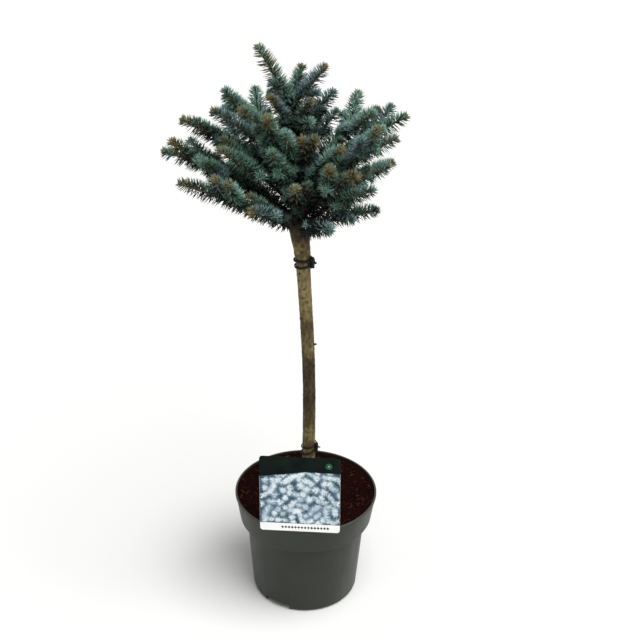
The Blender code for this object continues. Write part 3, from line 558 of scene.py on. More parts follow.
TRUNK_ROWS = np.array((
    (164, 3.3, 13.2), (176.3, 3.3, 12.6), (180, 3.3, 11.9), (190, 3.3, 11.1), (205, 3.4, 10.5),
    (300, 3.6, 10.2), (360, 3.2, 10.1), (420, 1.2, 10.1), (480, -2.2, 10.2), (540, -6.2, 10.4),
    (569, -7.9, 10.8), (587, -9.4, 12.1), (606, -11.6, 13.9), (615, -12.8, 14.9),
    (624, -13.7, 16.2), (634, -14.3, 15.8), (645, -14.9, 13.0), (660, -15.7, 10.4),
    (690, -17.0, 8.6), (730, -18.6, 6.8), (770, -20.6, 5.0), (796, -22.0, 3.8),
)) * MM
TRUNK_FOOT = TRUNK_ROWS[0, 0]
TRUNK_TOP = TRUNK_ROWS[-1, 0]
TRUNK_SIDES = 72
TRUNK_RING_PITCH = 2.0 * MM
FURROW_WIDTH = 3.2 * MM
FURROW_LENGTH = 26 * MM
FURROW_DEPTH = 0.4 * MM
SCALE_SIZE = 5.0 * MM
SCALE_DEPTH = 0.4 * MM
SCALE_APART = 40
RELIEF_LEVEL = 0.6
# How light the bark is up the stem, band by band, with painted shade in it: the dip just above the
# upper tie is painted shadow of the tie, and from 606 mm up the bark darkens to its deepest brown as
# painted shade under the crown.
BARK_TONES = (
    (160, 0.5), (262, 0.46), (272, 0.36), (284, 0.7), (296, 0.6), (308, 0.32), (325, 0.3),
    (345, 0.05), (365, 0.18), (385, 0.08), (400, 0.2), (415, 0.1), (424, 0.38), (435, 0.5),
    (452, 0.54), (464, 0.34), (478, 0.3), (490, 0.58), (505, 0.66), (530, 0.74), (556, 0.6),
    (566, 0.72), (580, 0.4), (595, 0.6), (606, 0.35), (614, 0.1), (620, 0.0), (800, 0.0),
)
FURROW_SHADE = 0.12
SCALE_SHADE = 0.22
GRAFT_HEIGHT = 622 * MM
GRAFT_SPAN = 30 * MM
GRAFT_ROUGHNESS = 1.4
PATCH_SIZE = 10 * MM
PATCH_DRIFT = 14
FRONT_SCARS = (
    (551, -92, 1.5), (545, -78, 1.2), (526, -70, 1.6), (500, -92, 1.3), (484, -72, 1.7),
    (464, -84, 2.0), (448, -68, 1.8), (434, -62, 1.4), (424, -138, 2.4), (405, -84, 1.6),
    (392, -80, 2.0), (372, -70, 1.6), (358, -84, 2.1), (352, -80, 1.9), (326, -80, 1.8),
    (303, -88, 1.6), (286, -72, 1.7), (262, -96, 1.6),
)
BACK_SCARS = 34
BACK_HEIGHTS = (195, 600)
BACK_AZIMUTHS = (-40, 220)
BACK_SIZES = (1.2, 2.2)
SCAR_RISE = 0.35 * MM
SCAR_PIT = 0.8 * MM
SCAR_SHADE = 0.6
SCAR_FLATNESS = 1.7
SCAR_SLANT = 0.5
SCAR_BREADTH = 0.75
LIP_SHARPNESS = 3
PIT_SHARPNESS = 2.2
SHADE_SHARPNESS = 1.1
STUB_HEIGHT = 437 * MM
STUB_AZIMUTH = -25
STUB_RISE = 24
STUB_RADII = (2.4 * MM, 1.4 * MM)
STUB_LENGTH = 15 * MM
STUB_RINGS = 8
STUB_SIDES = 10
STUB_TONE = 0.2
STEM_END_TONE = 0.3
STEM_SEED = 3


def heading(azimuth, rise):
    """Unit vectors towards azimuths that climb at rises above the level, in degrees."""
    turn = np.radians(azimuth)
    climb = np.radians(rise)
    return np.stack([np.cos(turn) * np.cos(climb), np.sin(turn) * np.cos(climb),
                     np.sin(climb) + 0 * turn], -1)


def trunk_shift(height):
    """How far the trunk's axis stands to the right at a height."""
    return np.interp(height, TRUNK_ROWS[:, 0], TRUNK_ROWS[:, 1])


def trunk_point(height):
    """Point of the trunk's axis at a height."""
    return np.array([trunk_shift(height), 0.0, height])


def trunk_radius(height, above=None):
    """Radius of the trunk at a height, or another value above its top."""
    return np.interp(height, TRUNK_ROWS[:, 0], TRUNK_ROWS[:, 2], right=above)


def tube_rings(points, radii, sides, reference):
    """Rings of corners round a line, whose radii may differ all round each ring."""
    points = np.asarray(points, float)
    ahead = np.gradient(points, axis=0)
    ahead /= np.linalg.norm(ahead, axis=1)[:, None]
    side = np.cross(ahead, reference)
    side /= np.linalg.norm(side, axis=1)[:, None]
    up = np.cross(side, ahead)
    turns = np.linspace(0, 2 * math.pi, sides, endpoint=False)
    out = (side[:, None] * np.cos(turns)[None, :, None] - up[:, None] * np.sin(turns)[None, :, None])
    radii = np.reshape(radii, (len(points), -1, 1))
    return points[:, None] + out * radii


def closed_tube(points, radii, sides, reference=(0.0, 0.0, 1.0)):
    """Corners and triangles of a closed tube, turned outwards."""
    return capped(tube_rings(points, radii, sides, reference))


def bark(tree, place, deep, low, high, scale):
    """Bark, matte: three browns laid by the depth of its relief, with painted shade in its hollows,
    and by its flakes.
    """
    tone = node(tree, "ShaderNodeAttribute", attribute_name="tone").outputs["Fac"]
    tall = node(tree, "ShaderNodeMapping", {"Vector": place, "Scale": (1.0, 1.0, 0.45)})
    flakes = node(tree, "ShaderNodeTexNoise", {
        "Vector": tall, "Scale": 1 / scale, "Detail": 5, "Roughness": 0.65})
    specks = node(tree, "ShaderNodeTexNoise", {
        "Vector": place, "Scale": 3 / scale, "Detail": 3, "Roughness": 0.6})
    mottle = node(tree, "ShaderNodeMapRange", {
        "Value": flakes, "From Min": 0.3, "From Max": 0.7, "To Min": -0.22, "To Max": 0.22})
    level = node(tree, "ShaderNodeMath", {0: tone, 1: mottle}, operation="ADD")
    colour = linear(deep)
    for start, end, brown in ((0.0, 0.5, low), (0.45, 1.0, high)):
        colour = toned(tree, level, colour, linear(brown), start, end)
    bump = node(tree, "ShaderNodeBump", {"Height": specks, "Distance": 0.25 * MM, "Strength": 0.7})
    return {"Base Color": colour, "Roughness": 0.82, "Specular IOR Level": 0.35, "Normal": bump}


def set_tone(mesh, values):
    """Store how light the bark is at each corner of a mesh."""
    tone = mesh.attributes.new("tone", "FLOAT", "POINT")
    tone.data.foreach_set("value", np.ascontiguousarray(values, np.float32))


stem_rng = random.Random(STEM_SEED)
scars = list(FRONT_SCARS)
for number in range(BACK_SCARS):
    scars.append([stem_rng.uniform(*limits) for limits in (BACK_HEIGHTS, BACK_AZIMUTHS, BACK_SIZES)])
stem_heights = np.arange(TRUNK_FOOT, TRUNK_TOP, TRUNK_RING_PITCH)
stem_turns = np.linspace(0, 360, TRUNK_SIDES, endpoint=False)
stem_radii = np.zeros((len(stem_heights), TRUNK_SIDES))
stem_tones = np.zeros((len(stem_heights), TRUNK_SIDES))
tone_rows = np.transpose(BARK_TONES)
for ring, height in enumerate(stem_heights):
    radius = trunk_radius(height)
    rough = 1 + GRAFT_ROUGHNESS * math.exp(-((height - GRAFT_HEIGHT) / GRAFT_SPAN) ** 2)
    for side, turn in enumerate(np.radians(stem_turns)):
        x, y = math.cos(turn) * radius, math.sin(turn) * radius
        furrow = noise.noise((x / FURROW_WIDTH, y / FURROW_WIDTH, height / FURROW_LENGTH))
        scale = noise.noise((x / SCALE_SIZE, y / SCALE_SIZE, height / SCALE_SIZE + SCALE_APART))
        drift = PATCH_DRIFT * noise.noise(Vector((x, y, height)) / PATCH_SIZE)
        shade = np.interp(height / MM + drift, *tone_rows)
        # The tone is lighter on the ridges of the relief and darker in its furrows and between its
        # scales: partly the bark's own colour, partly painted shade in the hollows.
        relief = (furrow - RELIEF_LEVEL) * FURROW_DEPTH + (scale - RELIEF_LEVEL) * SCALE_DEPTH
        stem_radii[ring, side] = radius + rough * relief
        stem_tones[ring, side] = shade + FURROW_SHADE * furrow + SCALE_SHADE * scale
for height, azimuth, size in scars:
    rise = (stem_heights[:, None] - height * MM) / (size * MM)
    aside = (stem_turns[None, :] - azimuth + 180) % 360 - 180
    around = np.radians(aside) * trunk_radius(height * MM) / (size * MM)
    far = np.sqrt((SCAR_FLATNESS * rise - SCAR_SLANT * around) ** 2
                  + (SCAR_BREADTH * around) ** 2)
    lip = SCAR_RISE * np.exp(-(far - 1) ** 2 * LIP_SHARPNESS)
    stem_radii += lip - SCAR_PIT * np.exp(-(far * PIT_SHARPNESS) ** 2)
    stem_tones -= SCAR_SHADE * np.exp(-(far * SHADE_SHARPNESS) ** 2)
stem_tube = closed_tube([trunk_point(height) for height in stem_heights], stem_radii, TRUNK_SIDES,
                        (0.0, 1.0, 0.0))
stub_line = [trunk_point(STUB_HEIGHT) + heading(STUB_AZIMUTH, STUB_RISE) * STUB_LENGTH * share
             for share in np.linspace(0, 1, STUB_RINGS)]
stub_tube = closed_tube(stub_line, np.linspace(*STUB_RADII, STUB_RINGS), STUB_SIDES)
stem_mesh = joined_mesh("stem_bark", *stacked([stem_tube, stub_tube]))
set_tone(stem_mesh, np.concatenate([stem_tones.ravel(), [STEM_END_TONE] * 2,
                                    [STUB_TONE] * len(stub_tube[0])]))
stem_mesh.shade_smooth()
stem = piece_of(stem_mesh, material("spruce_stem_bark", bark, "#281c0d", "#554829", "#938559",
                                    5 * MM))
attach(stem, "root")
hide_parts("trunk")


# Ties: soft black rubber band wound twice round the stem, with a wrapped knot and two cut ends.
# The upper one is broad and almost level, and the lower one is narrow and slopes up to the right.

Tie = namedtuple("Tie", "name heights tilt cord")
TIES = (
    Tie("tie_upper", (568.0, 577.5), 5, 1.85),
    Tie("tie_lower", (252.5, 263.2), 18, 1.35),
)
TIE_CLEARANCE = 0.2 * MM
TIE_FLATNESS = 0.6
TIE_WAVE = 0.5 * MM
TIE_STEPS = 72
TIE_SIDES = 12
KNOT_AZIMUTH = -20
KNOT_OUT = 0.8 * MM
KNOT_TURNS = 3
KNOT_STEPS = 28
KNOT_SPACING = 1.5
KNOT_UNEVENNESS = 0.4 * MM
KNOT_CORD = 0.85
TAIL_LENGTH = 5 * MM
TAIL_SAG = 3 * MM
TAIL_STEPS = 9
TAILS = ((-50, -0.9), (28, 0.35))


def soft_rubber(tree, place):
    """Tie rubber: black, matte, with the bloom that comes out of it in the open."""
    bloom = node(tree, "ShaderNodeTexNoise", {
        "Vector": place, "Scale": 1 / (2 * MM), "Detail": 5, "Roughness": 0.7})
    colour = toned(tree, bloom, linear("#080808"), linear("#191a19"))
    bump = node(tree, "ShaderNodeBump", {"Height": bloom, "Distance": 0.12 * MM, "Strength": 0.6})
    return {"Base Color": colour, "Roughness": 0.7, "Specular IOR Level": 0.25, "Normal": bump}


def ring_tube(line, radii, reference):
    """Corners and triangles of a tube along a line whose last point is its first."""
    rings = tube_rings(line, radii, TIE_SIDES, reference)
    rings[0] = (rings[0] + rings[-1]) / 2
    faces = grid_faces(len(rings), TIE_SIDES) % (len(rings[1:]) * TIE_SIDES)
    return rings[:-1].reshape(-1, 3), faces


def band_ring(centre, radius, cord, tilt, wave):
    """One turn of flattened band, tilted up to the right, with a slow wave in its height."""
    line = []
    for step in range(TIE_STEPS):
        turn = 2 * math.pi * step / TIE_STEPS
        rise = radius * math.cos(turn) * math.sin(math.radians(tilt)) + wave * math.sin(2 * turn)
        line.append(centre + np.array([radius * math.cos(turn), radius * math.sin(turn), rise]))
    around = np.linspace(0, 2 * math.pi, TIE_SIDES, endpoint=False)
    section = cord / np.hypot(np.cos(around) / TIE_FLATNESS, np.sin(around))
    return ring_tube(line + line[:1], np.tile(section, (TIE_STEPS + 1, 1)), (0.0, 0.0, 1.0))


rubber = material("soft_rubber", soft_rubber)
up = np.array([0.0, 0.0, 1.0])
out = heading(KNOT_AZIMUTH, 0)
across = np.array([-out[1], out[0], 0.0])
for tie in TIES:
    parts = []
    cord = tie.cord * MM
    middle = sum(tie.heights) / 2 * MM
    for number, height in enumerate(tie.heights):
        bore = trunk_radius(height * MM) + TIE_CLEARANCE + cord * TIE_FLATNESS
        parts.append(band_ring(trunk_point(height * MM), bore, cord, tie.tilt,
                               TIE_WAVE * (number * 2 - 1)))
    reach = trunk_radius(middle) + TIE_CLEARANCE + cord + KNOT_OUT / 2
    lift = reach * math.cos(math.radians(KNOT_AZIMUTH)) * math.sin(math.radians(tie.tilt))
    knot = trunk_point(middle) + out * reach + up * lift
    half = (tie.heights[1] - tie.heights[0]) / 2 * MM + cord
    for number in range(KNOT_TURNS):
        shift = across * (number - 1) * cord * KNOT_SPACING
        tall = half + number % 2 * KNOT_UNEVENNESS
        loop = [knot + shift + out * math.cos(turn) * (cord + KNOT_OUT / 2)
                + up * math.sin(turn) * tall for turn in np.linspace(0, 2 * math.pi, KNOT_STEPS)]
        parts.append(ring_tube(loop, [cord * KNOT_CORD] * KNOT_STEPS, across))
    for turn, drop in TAILS:
        away = heading(KNOT_AZIMUTH + turn, math.degrees(math.asin(drop)))
        tail = [knot + out * cord + away * TAIL_LENGTH * share - up * TAIL_SAG * share ** 2
                for share in np.linspace(0, 1, TAIL_STEPS)]
        parts.append(closed_tube(tail, [cord * KNOT_CORD] * TAIL_STEPS, TIE_SIDES, across))
    tie_mesh = joined_mesh(tie.name + "_cord", *stacked(parts))
    tie_mesh.shade_smooth()
    piece = piece_of(tie_mesh, rubber)
    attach(piece, "root")
    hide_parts(tie.name)


# Care card: a stiff printed polystyrene card with round corners, on a peg that is pressed into the
# soil. Its print is a dark header with a small green mark, a picture of frosty needle tufts on
# deep blue, and a row of grey lozenges on the strip under it.

CARD_WIDTH = 120 * MM
CARD_HEIGHT = 124 * MM
CARD_THICKNESS = 1.0 * MM
CARD_CORNER = 4.5 * MM
CARD_CENTRE = Vector((-7.7, -106.5, 243.0)) * MM
CARD_YAW = -4.5
CARD_LEAN = 6
CARD_ROLL = 1.2
INK = 0.05 * MM
INK_LIFT = 0.02 * MM
HEADER_FOOT = ((-60, 28.5), (8, 38.5), (60, 37.0))
STRIP_TOP = -49 * MM
PRINT_MARGIN = 0.2 * MM
PRINT_WRAP = 0.06 * MM
PEG_WIDTH = 14 * MM
PEG_THICKNESS = 1.4 * MM
PEG_BACK = 0.4 * MM - (CARD_THICKNESS + PEG_THICKNESS) / 2
PEG_TAB_WIDTH = 18 * MM
PEG_TAB_LENGTH = 22 * MM
PEG_TAB_FOOT = -50 * MM
PEG_LENGTH = 52 * MM
PEG_BEND = 18
PEG_ROUNDING = 0.3 * MM
TUFT_SEED = 21
TUFT_TRIES = 1400
TUFT_SIZES = (7.5 * MM, 11.5 * MM)
TUFT_SPANS = (0.0, 0.0, 5 * MM, 11 * MM, 24 * MM)
TUFT_APART = 0.4
TUFT_LAYERS = (1.0, 0.78, 0.52)
TUFT_DENSITY = 5.5 / MM
TUFT_NEEDLE_WIDTH = 1.5 * MM
TUFT_REACHES = (0.7, 1.05)
TUFT_STACK = 0.004 * MM
TUFT_RISE = 0.012 * MM
MARK_PLACE = (43 * MM, 49 * MM)
MARK_RADIUS = 5 * MM
MARK_SIDES = 40
LOZENGE_ROW = (-26 * MM, 42 * MM, 15)
LOZENGE_SIZE = (2.1 * MM, 2.5 * MM)
MARK_LOZENGE_SIZE = (2.0 * MM, 3.4 * MM)
CORNER_STEP = 15

card_matrix = (Matrix.Translation(CARD_CENTRE)
               @ Matrix.Rotation(math.radians(CARD_YAW), 4, "Z")
               @ Matrix.Rotation(math.radians(90 - CARD_LEAN), 4, "X")
               @ Matrix.Rotation(math.radians(CARD_ROLL), 4, "Z"))


def printed_polystyrene(tree, place, low, high, spread):
    """Offset print on polystyrene: satin, with the mottle of its ink."""
    mottle = node(tree, "ShaderNodeTexNoise", {
        "Vector": place, "Scale": 1 / spread, "Detail": 5, "Roughness": 0.6})
    colour = toned(tree, mottle, linear(low), linear(high), 0.35, 0.65)
    return {"Base Color": colour, "Roughness": 0.38, "IOR": 1.5, "Specular IOR Level": 0.05}


def ink(name, low, high, spread):
    """Print in two like shades of an ink, or the bare polystyrene."""
    return material(name, printed_polystyrene, low, high, spread)


def round_corner(across, up, start, wrap=0.0):
    """Points of one round corner of the card, anticlockwise, or of print wrapped round it."""
    points = []
    for step in range(90 // CORNER_STEP + 1):
        angle = math.radians(start + CORNER_STEP * step)
        out = CARD_CORNER + wrap
        points.append((across * (CARD_WIDTH / 2 - CARD_CORNER) + out * math.cos(angle),
                       up * (CARD_HEIGHT / 2 - CARD_CORNER) + out * math.sin(angle)))
    return points


def flat_plate(name, outline, low, high, finish):
    """Closed plate in the card's plane, between two depths from its middle."""
    shape = bmesh.new()
    top = [shape.verts.new((x, y, high)) for x, y in outline]
    bottom = [shape.verts.new((x, y, low)) for x, y in outline]
    shape.faces.new(top)
    shape.faces.new(bottom[::-1])
    for here in range(len(outline)):
        after = (here + 1) % len(outline)
        shape.faces.new((top[here], bottom[here], bottom[after], top[after]))
    bmesh.ops.triangulate(shape, faces=shape.faces)
    mesh = mesh_of(name, shape)
    mesh.transform(card_matrix)
    return piece_of(mesh, finish)


face = CARD_THICKNESS / 2
card_outline = [point for corner in ((1, 1, 0), (-1, 1, 90), (-1, -1, 180), (1, -1, 270))
                for point in round_corner(*corner)]
card = flat_plate("care_card", card_outline, -face, face,
                  ink("white_polystyrene", "#eef0ef", "#f8f8f6", 20 * MM))
tab = (Matrix.Translation((0.0, PEG_TAB_FOOT + PEG_TAB_LENGTH / 2, PEG_BACK))
       @ Matrix.Diagonal((PEG_TAB_WIDTH, PEG_TAB_LENGTH, PEG_THICKNESS, 1.0)))
blade = (Matrix.Translation((0.0, PEG_TAB_FOOT, PEG_BACK))
         @ Matrix.Rotation(math.radians(PEG_BEND), 4, "X")
         @ Matrix.Translation((0.0, -PEG_LENGTH / 2, 0.0))
         @ Matrix.Diagonal((PEG_WIDTH, PEG_LENGTH, PEG_THICKNESS, 1.0)))
peg_shape = bmesh.new()
for matrix in (tab, blade):
    bmesh.ops.create_cube(peg_shape, size=1.0, matrix=card_matrix @ matrix)
bmesh.ops.bevel(peg_shape, geom=peg_shape.edges[:], offset=PEG_ROUNDING, segments=2,
                affect="EDGES")
peg = piece_of(mesh_of("card_peg", peg_shape), card.data.materials[0])

foot_left, foot_middle, foot_right = feet = [(x * MM, y * MM) for x, y in HEADER_FOOT]
header_foot = np.transpose(feet)
header_outline = (round_corner(1, 1, 0, PRINT_WRAP) + round_corner(-1, 1, 90, PRINT_WRAP) + [
    (foot_left[0] - PRINT_WRAP, foot_left[1]), foot_middle,
    (foot_right[0] + PRINT_WRAP, foot_right[1])])
header = flat_plate("card_header", header_outline, INK - face, face + INK_LIFT,
                    ink("print_near_black", "#0a110e", "#141d19", 30 * MM))
edge_x = CARD_WIDTH / 2 - PRINT_MARGIN
picture_outline = [(foot_left[0] + PRINT_MARGIN, foot_left[1]), (-edge_x, STRIP_TOP),
                   (edge_x, STRIP_TOP), (foot_right[0] - PRINT_MARGIN, foot_right[1]), foot_middle]
picture = flat_plate("card_picture", picture_outline, face - INK, face + INK_LIFT,
                     ink("print_deep_blue", "#24384a", "#4c6375", 9 * MM))
frost_inks = [ink(name, low, high, 4 * MM) for name, low, high in (
    ("print_mid_blue", "#62798a", "#8299a8"), ("print_pale_blue", "#8ea4b2", "#adc0cb"),
    ("print_ice", "#b5c8d2", "#cfdee5"), ("print_frost", "#d6e3e9", "#eef3f4"))]


def in_picture(x, y):
    """True where a point of the card lies in the picture."""
    top = np.interp(x, *header_foot)
    return abs(x) < edge_x - INK and STRIP_TOP < y < top


tuft_rng = random.Random(TUFT_SEED)
tufts = []
for attempt in range(TUFT_TRIES):
    x = tuft_rng.uniform(-edge_x, edge_x)
    y = tuft_rng.uniform(STRIP_TOP, foot_middle[1])
    size = tuft_rng.uniform(*TUFT_SIZES)
    span = tuft_rng.choice(TUFT_SPANS)
    if in_picture(x, y) and all(math.hypot(x - far, y - high) > TUFT_APART * (
            size + wide + (span + long) / 3) for far, high, wide, long in tufts):
        tufts.append((x, y, size, span))
tuft_verts = []
tuft_faces = []
tuft_tones = []
half = TUFT_NEEDLE_WIDTH / 2
needle_plate = ((0, 1, 3), (1, 2, 3), (2, 0, 3), (0, 2, 1))
for number, (x, y, size, span) in enumerate(tufts):
    lie = tuft_rng.uniform(0, math.pi)
    base_tone = tuft_rng.choice((0, 0, 1, 1, 1, 2))
    for layer, share in enumerate(TUFT_LAYERS):
        level = face + INK_LIFT + TUFT_RISE * (1 + layer) + TUFT_STACK * (number % 5)
        for spoke in range(int(TUFT_DENSITY * (size + span) * share)):
            turn = tuft_rng.uniform(0, 2 * math.pi)
            shift = span * tuft_rng.uniform(-0.5, 0.5)
            root = (x + shift * math.cos(lie), y + shift * math.sin(lie))
            far = size * share * tuft_rng.uniform(*TUFT_REACHES)
            tip = (root[0] + far * math.cos(turn), root[1] + far * math.sin(turn))
            if not (in_picture(*tip) and in_picture(*root)):
                continue
            start = len(tuft_verts)
            aside = (-math.sin(turn) * half, math.cos(turn) * half)
            tuft_verts += [(root[0] + aside[0], root[1] + aside[1], face),
                           (root[0] - aside[0], root[1] - aside[1], face),
                           (*tip, face + INK_LIFT),
                           ((root[0] + tip[0]) / 2, (root[1] + tip[1]) / 2, level)]
            tuft_faces += [[start + corner for corner in corners] for corners in needle_plate]
            tone = base_tone + layer * (spoke % 4 > 0) + (math.sin(turn) > 0) - (layer == 0)
            tuft_tones += [min(3, max(0, tone))] * len(needle_plate)
tuft_mesh = joined_mesh("card_tufts", np.array(tuft_verts), np.array(tuft_faces), tuft_tones)
tuft_mesh.transform(card_matrix)
tuft_print = piece_of(tuft_mesh, *frost_inks)

disc = [(MARK_PLACE[0] + MARK_RADIUS * math.cos(turn), MARK_PLACE[1] + MARK_RADIUS * math.sin(turn))
        for turn in np.linspace(0, 2 * math.pi, MARK_SIDES, endpoint=False)]
mark = flat_plate("card_mark", disc, face - INK, face + 2 * INK_LIFT,
                  ink("print_leaf_green", "#1c4a30", "#2f6544", 8 * MM))
lozenges = [(*MARK_PLACE, *MARK_LOZENGE_SIZE, 0)]
lozenges += [(x, (STRIP_TOP - CARD_HEIGHT / 2) / 2, *LOZENGE_SIZE, 1)
             for x in np.linspace(*LOZENGE_ROW)]
lozenge_verts = []
lozenge_faces = []
for number, (x, y, half, tall, tone) in enumerate(lozenges):
    lozenge_verts += [(x + half, y, face), (x, y + tall, face), (x - half, y, face),
                      (x, y - tall, face), (x, y, face + 4 * INK_LIFT), (x, y, face - INK)]
    for side in range(4):
        here, after = 6 * number + side, 6 * number + (side + 1) % 4
        lozenge_faces += [(here, after, 6 * number + 4), (after, here, 6 * number + 5)]
lozenge_mesh = joined_mesh("card_lozenges", np.array(lozenge_verts), np.array(lozenge_faces),
                           [lozenge[4] for lozenge in lozenges for side in range(8)])
lozenge_mesh.transform(card_matrix)
lozenge_print = piece_of(lozenge_mesh, ink("print_pale_green", "#a8cbb2", "#c9e0cf", 5 * MM),
                         ink("print_grey", "#2c2e2f", "#484b4c", 5 * MM))
for piece in (card, peg, header, picture, tuft_print, mark, lozenge_print):
    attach(piece, "root")
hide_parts("label")


# Boughs: limbs of the grafted spruce, each one tapering shoot of past years that rises from the
# leader and levels out. Their bark is brown and thin, and rough with the pegs of fallen needles.

Bough = namedtuple("Bough", "name height azimuth rise tip_rise reach bare shoots tip")
BOUGHS = tuple(Bough(*row) for row in (
    ("left_long", 636, 183, 41, 15, 217, 72, 3, "olive"),
    ("left_low", 619, 205, 32, 25, 202, 62, 2, "olive"),
    ("left_upper", 668, 172, 46, 18, 199, 66, 2, "golden"),
    ("left_front", 648, 214, 52, 30, 172, 56, 1, "golden"),
    ("left_front_low", 622, 234, 37, 18, 128, 40, 1, "golden"),
    ("left_back_high", 706, 146, 47, 22, 158, 50, 2, "green"),
    ("left_high", 692, 192, 54, 30, 162, 50, 0, "olive"),
    ("front_left_high", 706, 222, 58, 36, 148, 44, 1, "golden"),
    ("top_front_left", 748, 215, 66, 50, 86, 22, 0, "olive"),
    ("top_back_right", 752, 38, 50, 32, 92, 24, 0, "green"),
    ("top_front_right", 757, 305, 66, 48, 72, 18, 0, "olive"),
    ("right_high", 696, 20, 48, 26, 154, 48, 2, "olive"),
    ("right_long", 662, 3, 54, 26, 198, 66, 2, "olive"),
    ("right_middle", 646, 344, 54, 30, 188, 60, 2, "olive"),
    ("right_back_low", 638, 20, 38, 14, 162, 52, 1, "olive"),
    ("right_low", 621, 30, 10, -4, 135, 42, 1, "green"),
    ("front_right_middle", 642, 316, 50, 26, 144, 46, 1, "golden"),
    ("right_front_low", 624, 331, 45, 23, 144, 46, 1, "green"),
    ("front_right_low", 617, 302, 32, 10, 92, 26, 0, "green"),
    ("front_low", 634, 266, 58, 34, 104, 30, 1, "golden"),
    ("front_left", 664, 238, 62, 42, 118, 34, 1, "green"),
    ("front_high", 690, 254, 66, 46, 112, 30, 0, "green"),
    ("front_right_high", 686, 296, 66, 46, 106, 30, 1, "olive"),
    ("front_right", 668, 314, 58, 36, 130, 40, 1, "golden"),
    ("back_left_low", 624, 152, 36, 14, 172, 56, 2, "olive"),
    ("back_low", 636, 112, 40, 16, 154, 50, 3, "golden"),
    ("back_right_low", 626, 70, 38, 14, 150, 48, 2, "green"),
    ("back_left", 672, 126, 50, 26, 154, 48, 1, "olive"),
    ("back_right", 678, 76, 52, 28, 146, 44, 2, "golden"),
    ("back_high", 716, 100, 60, 38, 126, 36, 1, "green"),
))
CREST = Bough("crest", 792, 172, 62, 56, 103, 5, 2, "bronze")
CREST_SHOOTS = ((5, 60, 64, 62), (9, 0, 47, 75))
CREST_SHOOT_LIFT = 6
CROWN = BOUGHS + (CREST,)
SHORTEST_LIMB = 38
LIMB_FOOT_RADIUS = 3.0 * MM
LIMB_TIP_RADIUS = 2.3 * MM
COLLAR_RADIUS = 1.3 * MM
COLLAR_LENGTH = 9 * MM
COLLAR_SHARE = 0.4
BUD_LENGTH = 8 * MM
TIP_LENGTH = 7 * MM
TWIG_TIP_RADIUS = 1.4 * MM
TWIG_RING_PITCH = 1.8 * MM
TWIG_SIDES = 8
PEG_RELIEF = 0.13
BOUGH_TONES = (0.0, 0.8)
TONE_SPREAD = 0.15
GROWTH_SEED = 11
DETAIL_SEED = 17

Arc = namedtuple("Arc", "foot azimuth rise bend length")


def along_arc(arc, along):
    """Points and directions at distances along an arc, whose rise changes evenly."""
    start = math.radians(arc.rise)
    rate = math.radians(arc.bend) / arc.length
    climb = start + rate * np.asarray(along, float)
    out = (np.sin(climb) - math.sin(start)) / rate
    up = (math.cos(start) - np.cos(climb)) / rate
    turn = math.radians(arc.azimuth)
    points = arc.foot + np.stack([math.cos(turn) * out, math.sin(turn) * out, up], -1)
    return points, heading(np.full_like(climb, arc.azimuth), np.degrees(climb))


def bough_arc(bough):
    """Arc of a bough, from the trunk's axis to its furthest needle."""
    return Arc(trunk_point(bough.height * MM), bough.azimuth, bough.rise,
               bough.tip_rise - bough.rise, bough.reach * MM)


def twig_tube(arc, end, radii, tones, rng):
    """Bark along an arc, rough with pegs, with radii (distance, radius), and its tones."""
    along = np.linspace(0, end, max(3, int(end / TWIG_RING_PITCH)))
    radius = np.interp(along, *np.transpose(radii))
    relief = 1 + PEG_RELIEF * rng.normal(0, 1, (len(along), TWIG_SIDES)).clip(-1.5, 2)
    relief[0] = relief[-1] = 1
    tube = closed_tube(along_arc(arc, along)[0], radius[:, None] * relief, TWIG_SIDES)
    tone = np.repeat(np.linspace(*tones, len(along)), TWIG_SIDES)
    tone += rng.uniform(-TONE_SPREAD, TONE_SPREAD, len(tone))
    return tube, np.concatenate([tone, tones])


def bark_piece(name, tubes):
    """Piece made of twig tubes, with their tones."""
    mesh = joined_mesh(name, *stacked([tube for tube, tone in tubes]))
    set_tone(mesh, np.concatenate([tone for tube, tone in tubes]))
    mesh.shade_smooth()
    piece = piece_of(mesh, twig_bark)
    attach(piece, "root")
    return piece


twig_bark = material("spruce_twig_bark", bark, "#15120c", "#3a2f1d", "#7e683c", 2.2 * MM)
detail_rng = np.random.default_rng(DETAIL_SEED)
bough_tubes = []
for bough in CROWN:
    arc = bough_arc(bough)
    bare = bough.bare * MM
    hidden = float(trunk_radius(bough.height * MM)) / math.cos(math.radians(bough.rise))
    hidden = min(hidden, COLLAR_SHARE * bare + COLLAR_LENGTH / 2)
    end = arc.length - TIP_LENGTH
    bough_tubes.append(twig_tube(arc, end, (
        (0.0, LIMB_FOOT_RADIUS + COLLAR_RADIUS), (hidden, LIMB_FOOT_RADIUS + COLLAR_RADIUS / 2),
        (hidden + COLLAR_LENGTH, LIMB_FOOT_RADIUS),
        (max(bare, hidden + 2 * COLLAR_LENGTH), LIMB_TIP_RADIUS), (end, TWIG_TIP_RADIUS)),
        BOUGH_TONES, detail_rng))
boughs = bark_piece("bough_bark", bough_tubes)
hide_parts(*["bough_" + bough.name for bough in BOUGHS if bough.bare >= SHORTEST_LIMB])


# Twigs: each bough branches by turns to the left and right, by the same seeded rule as the solids,
# and finer twigs of the last two years grow on from those shoots, where there is room for them.

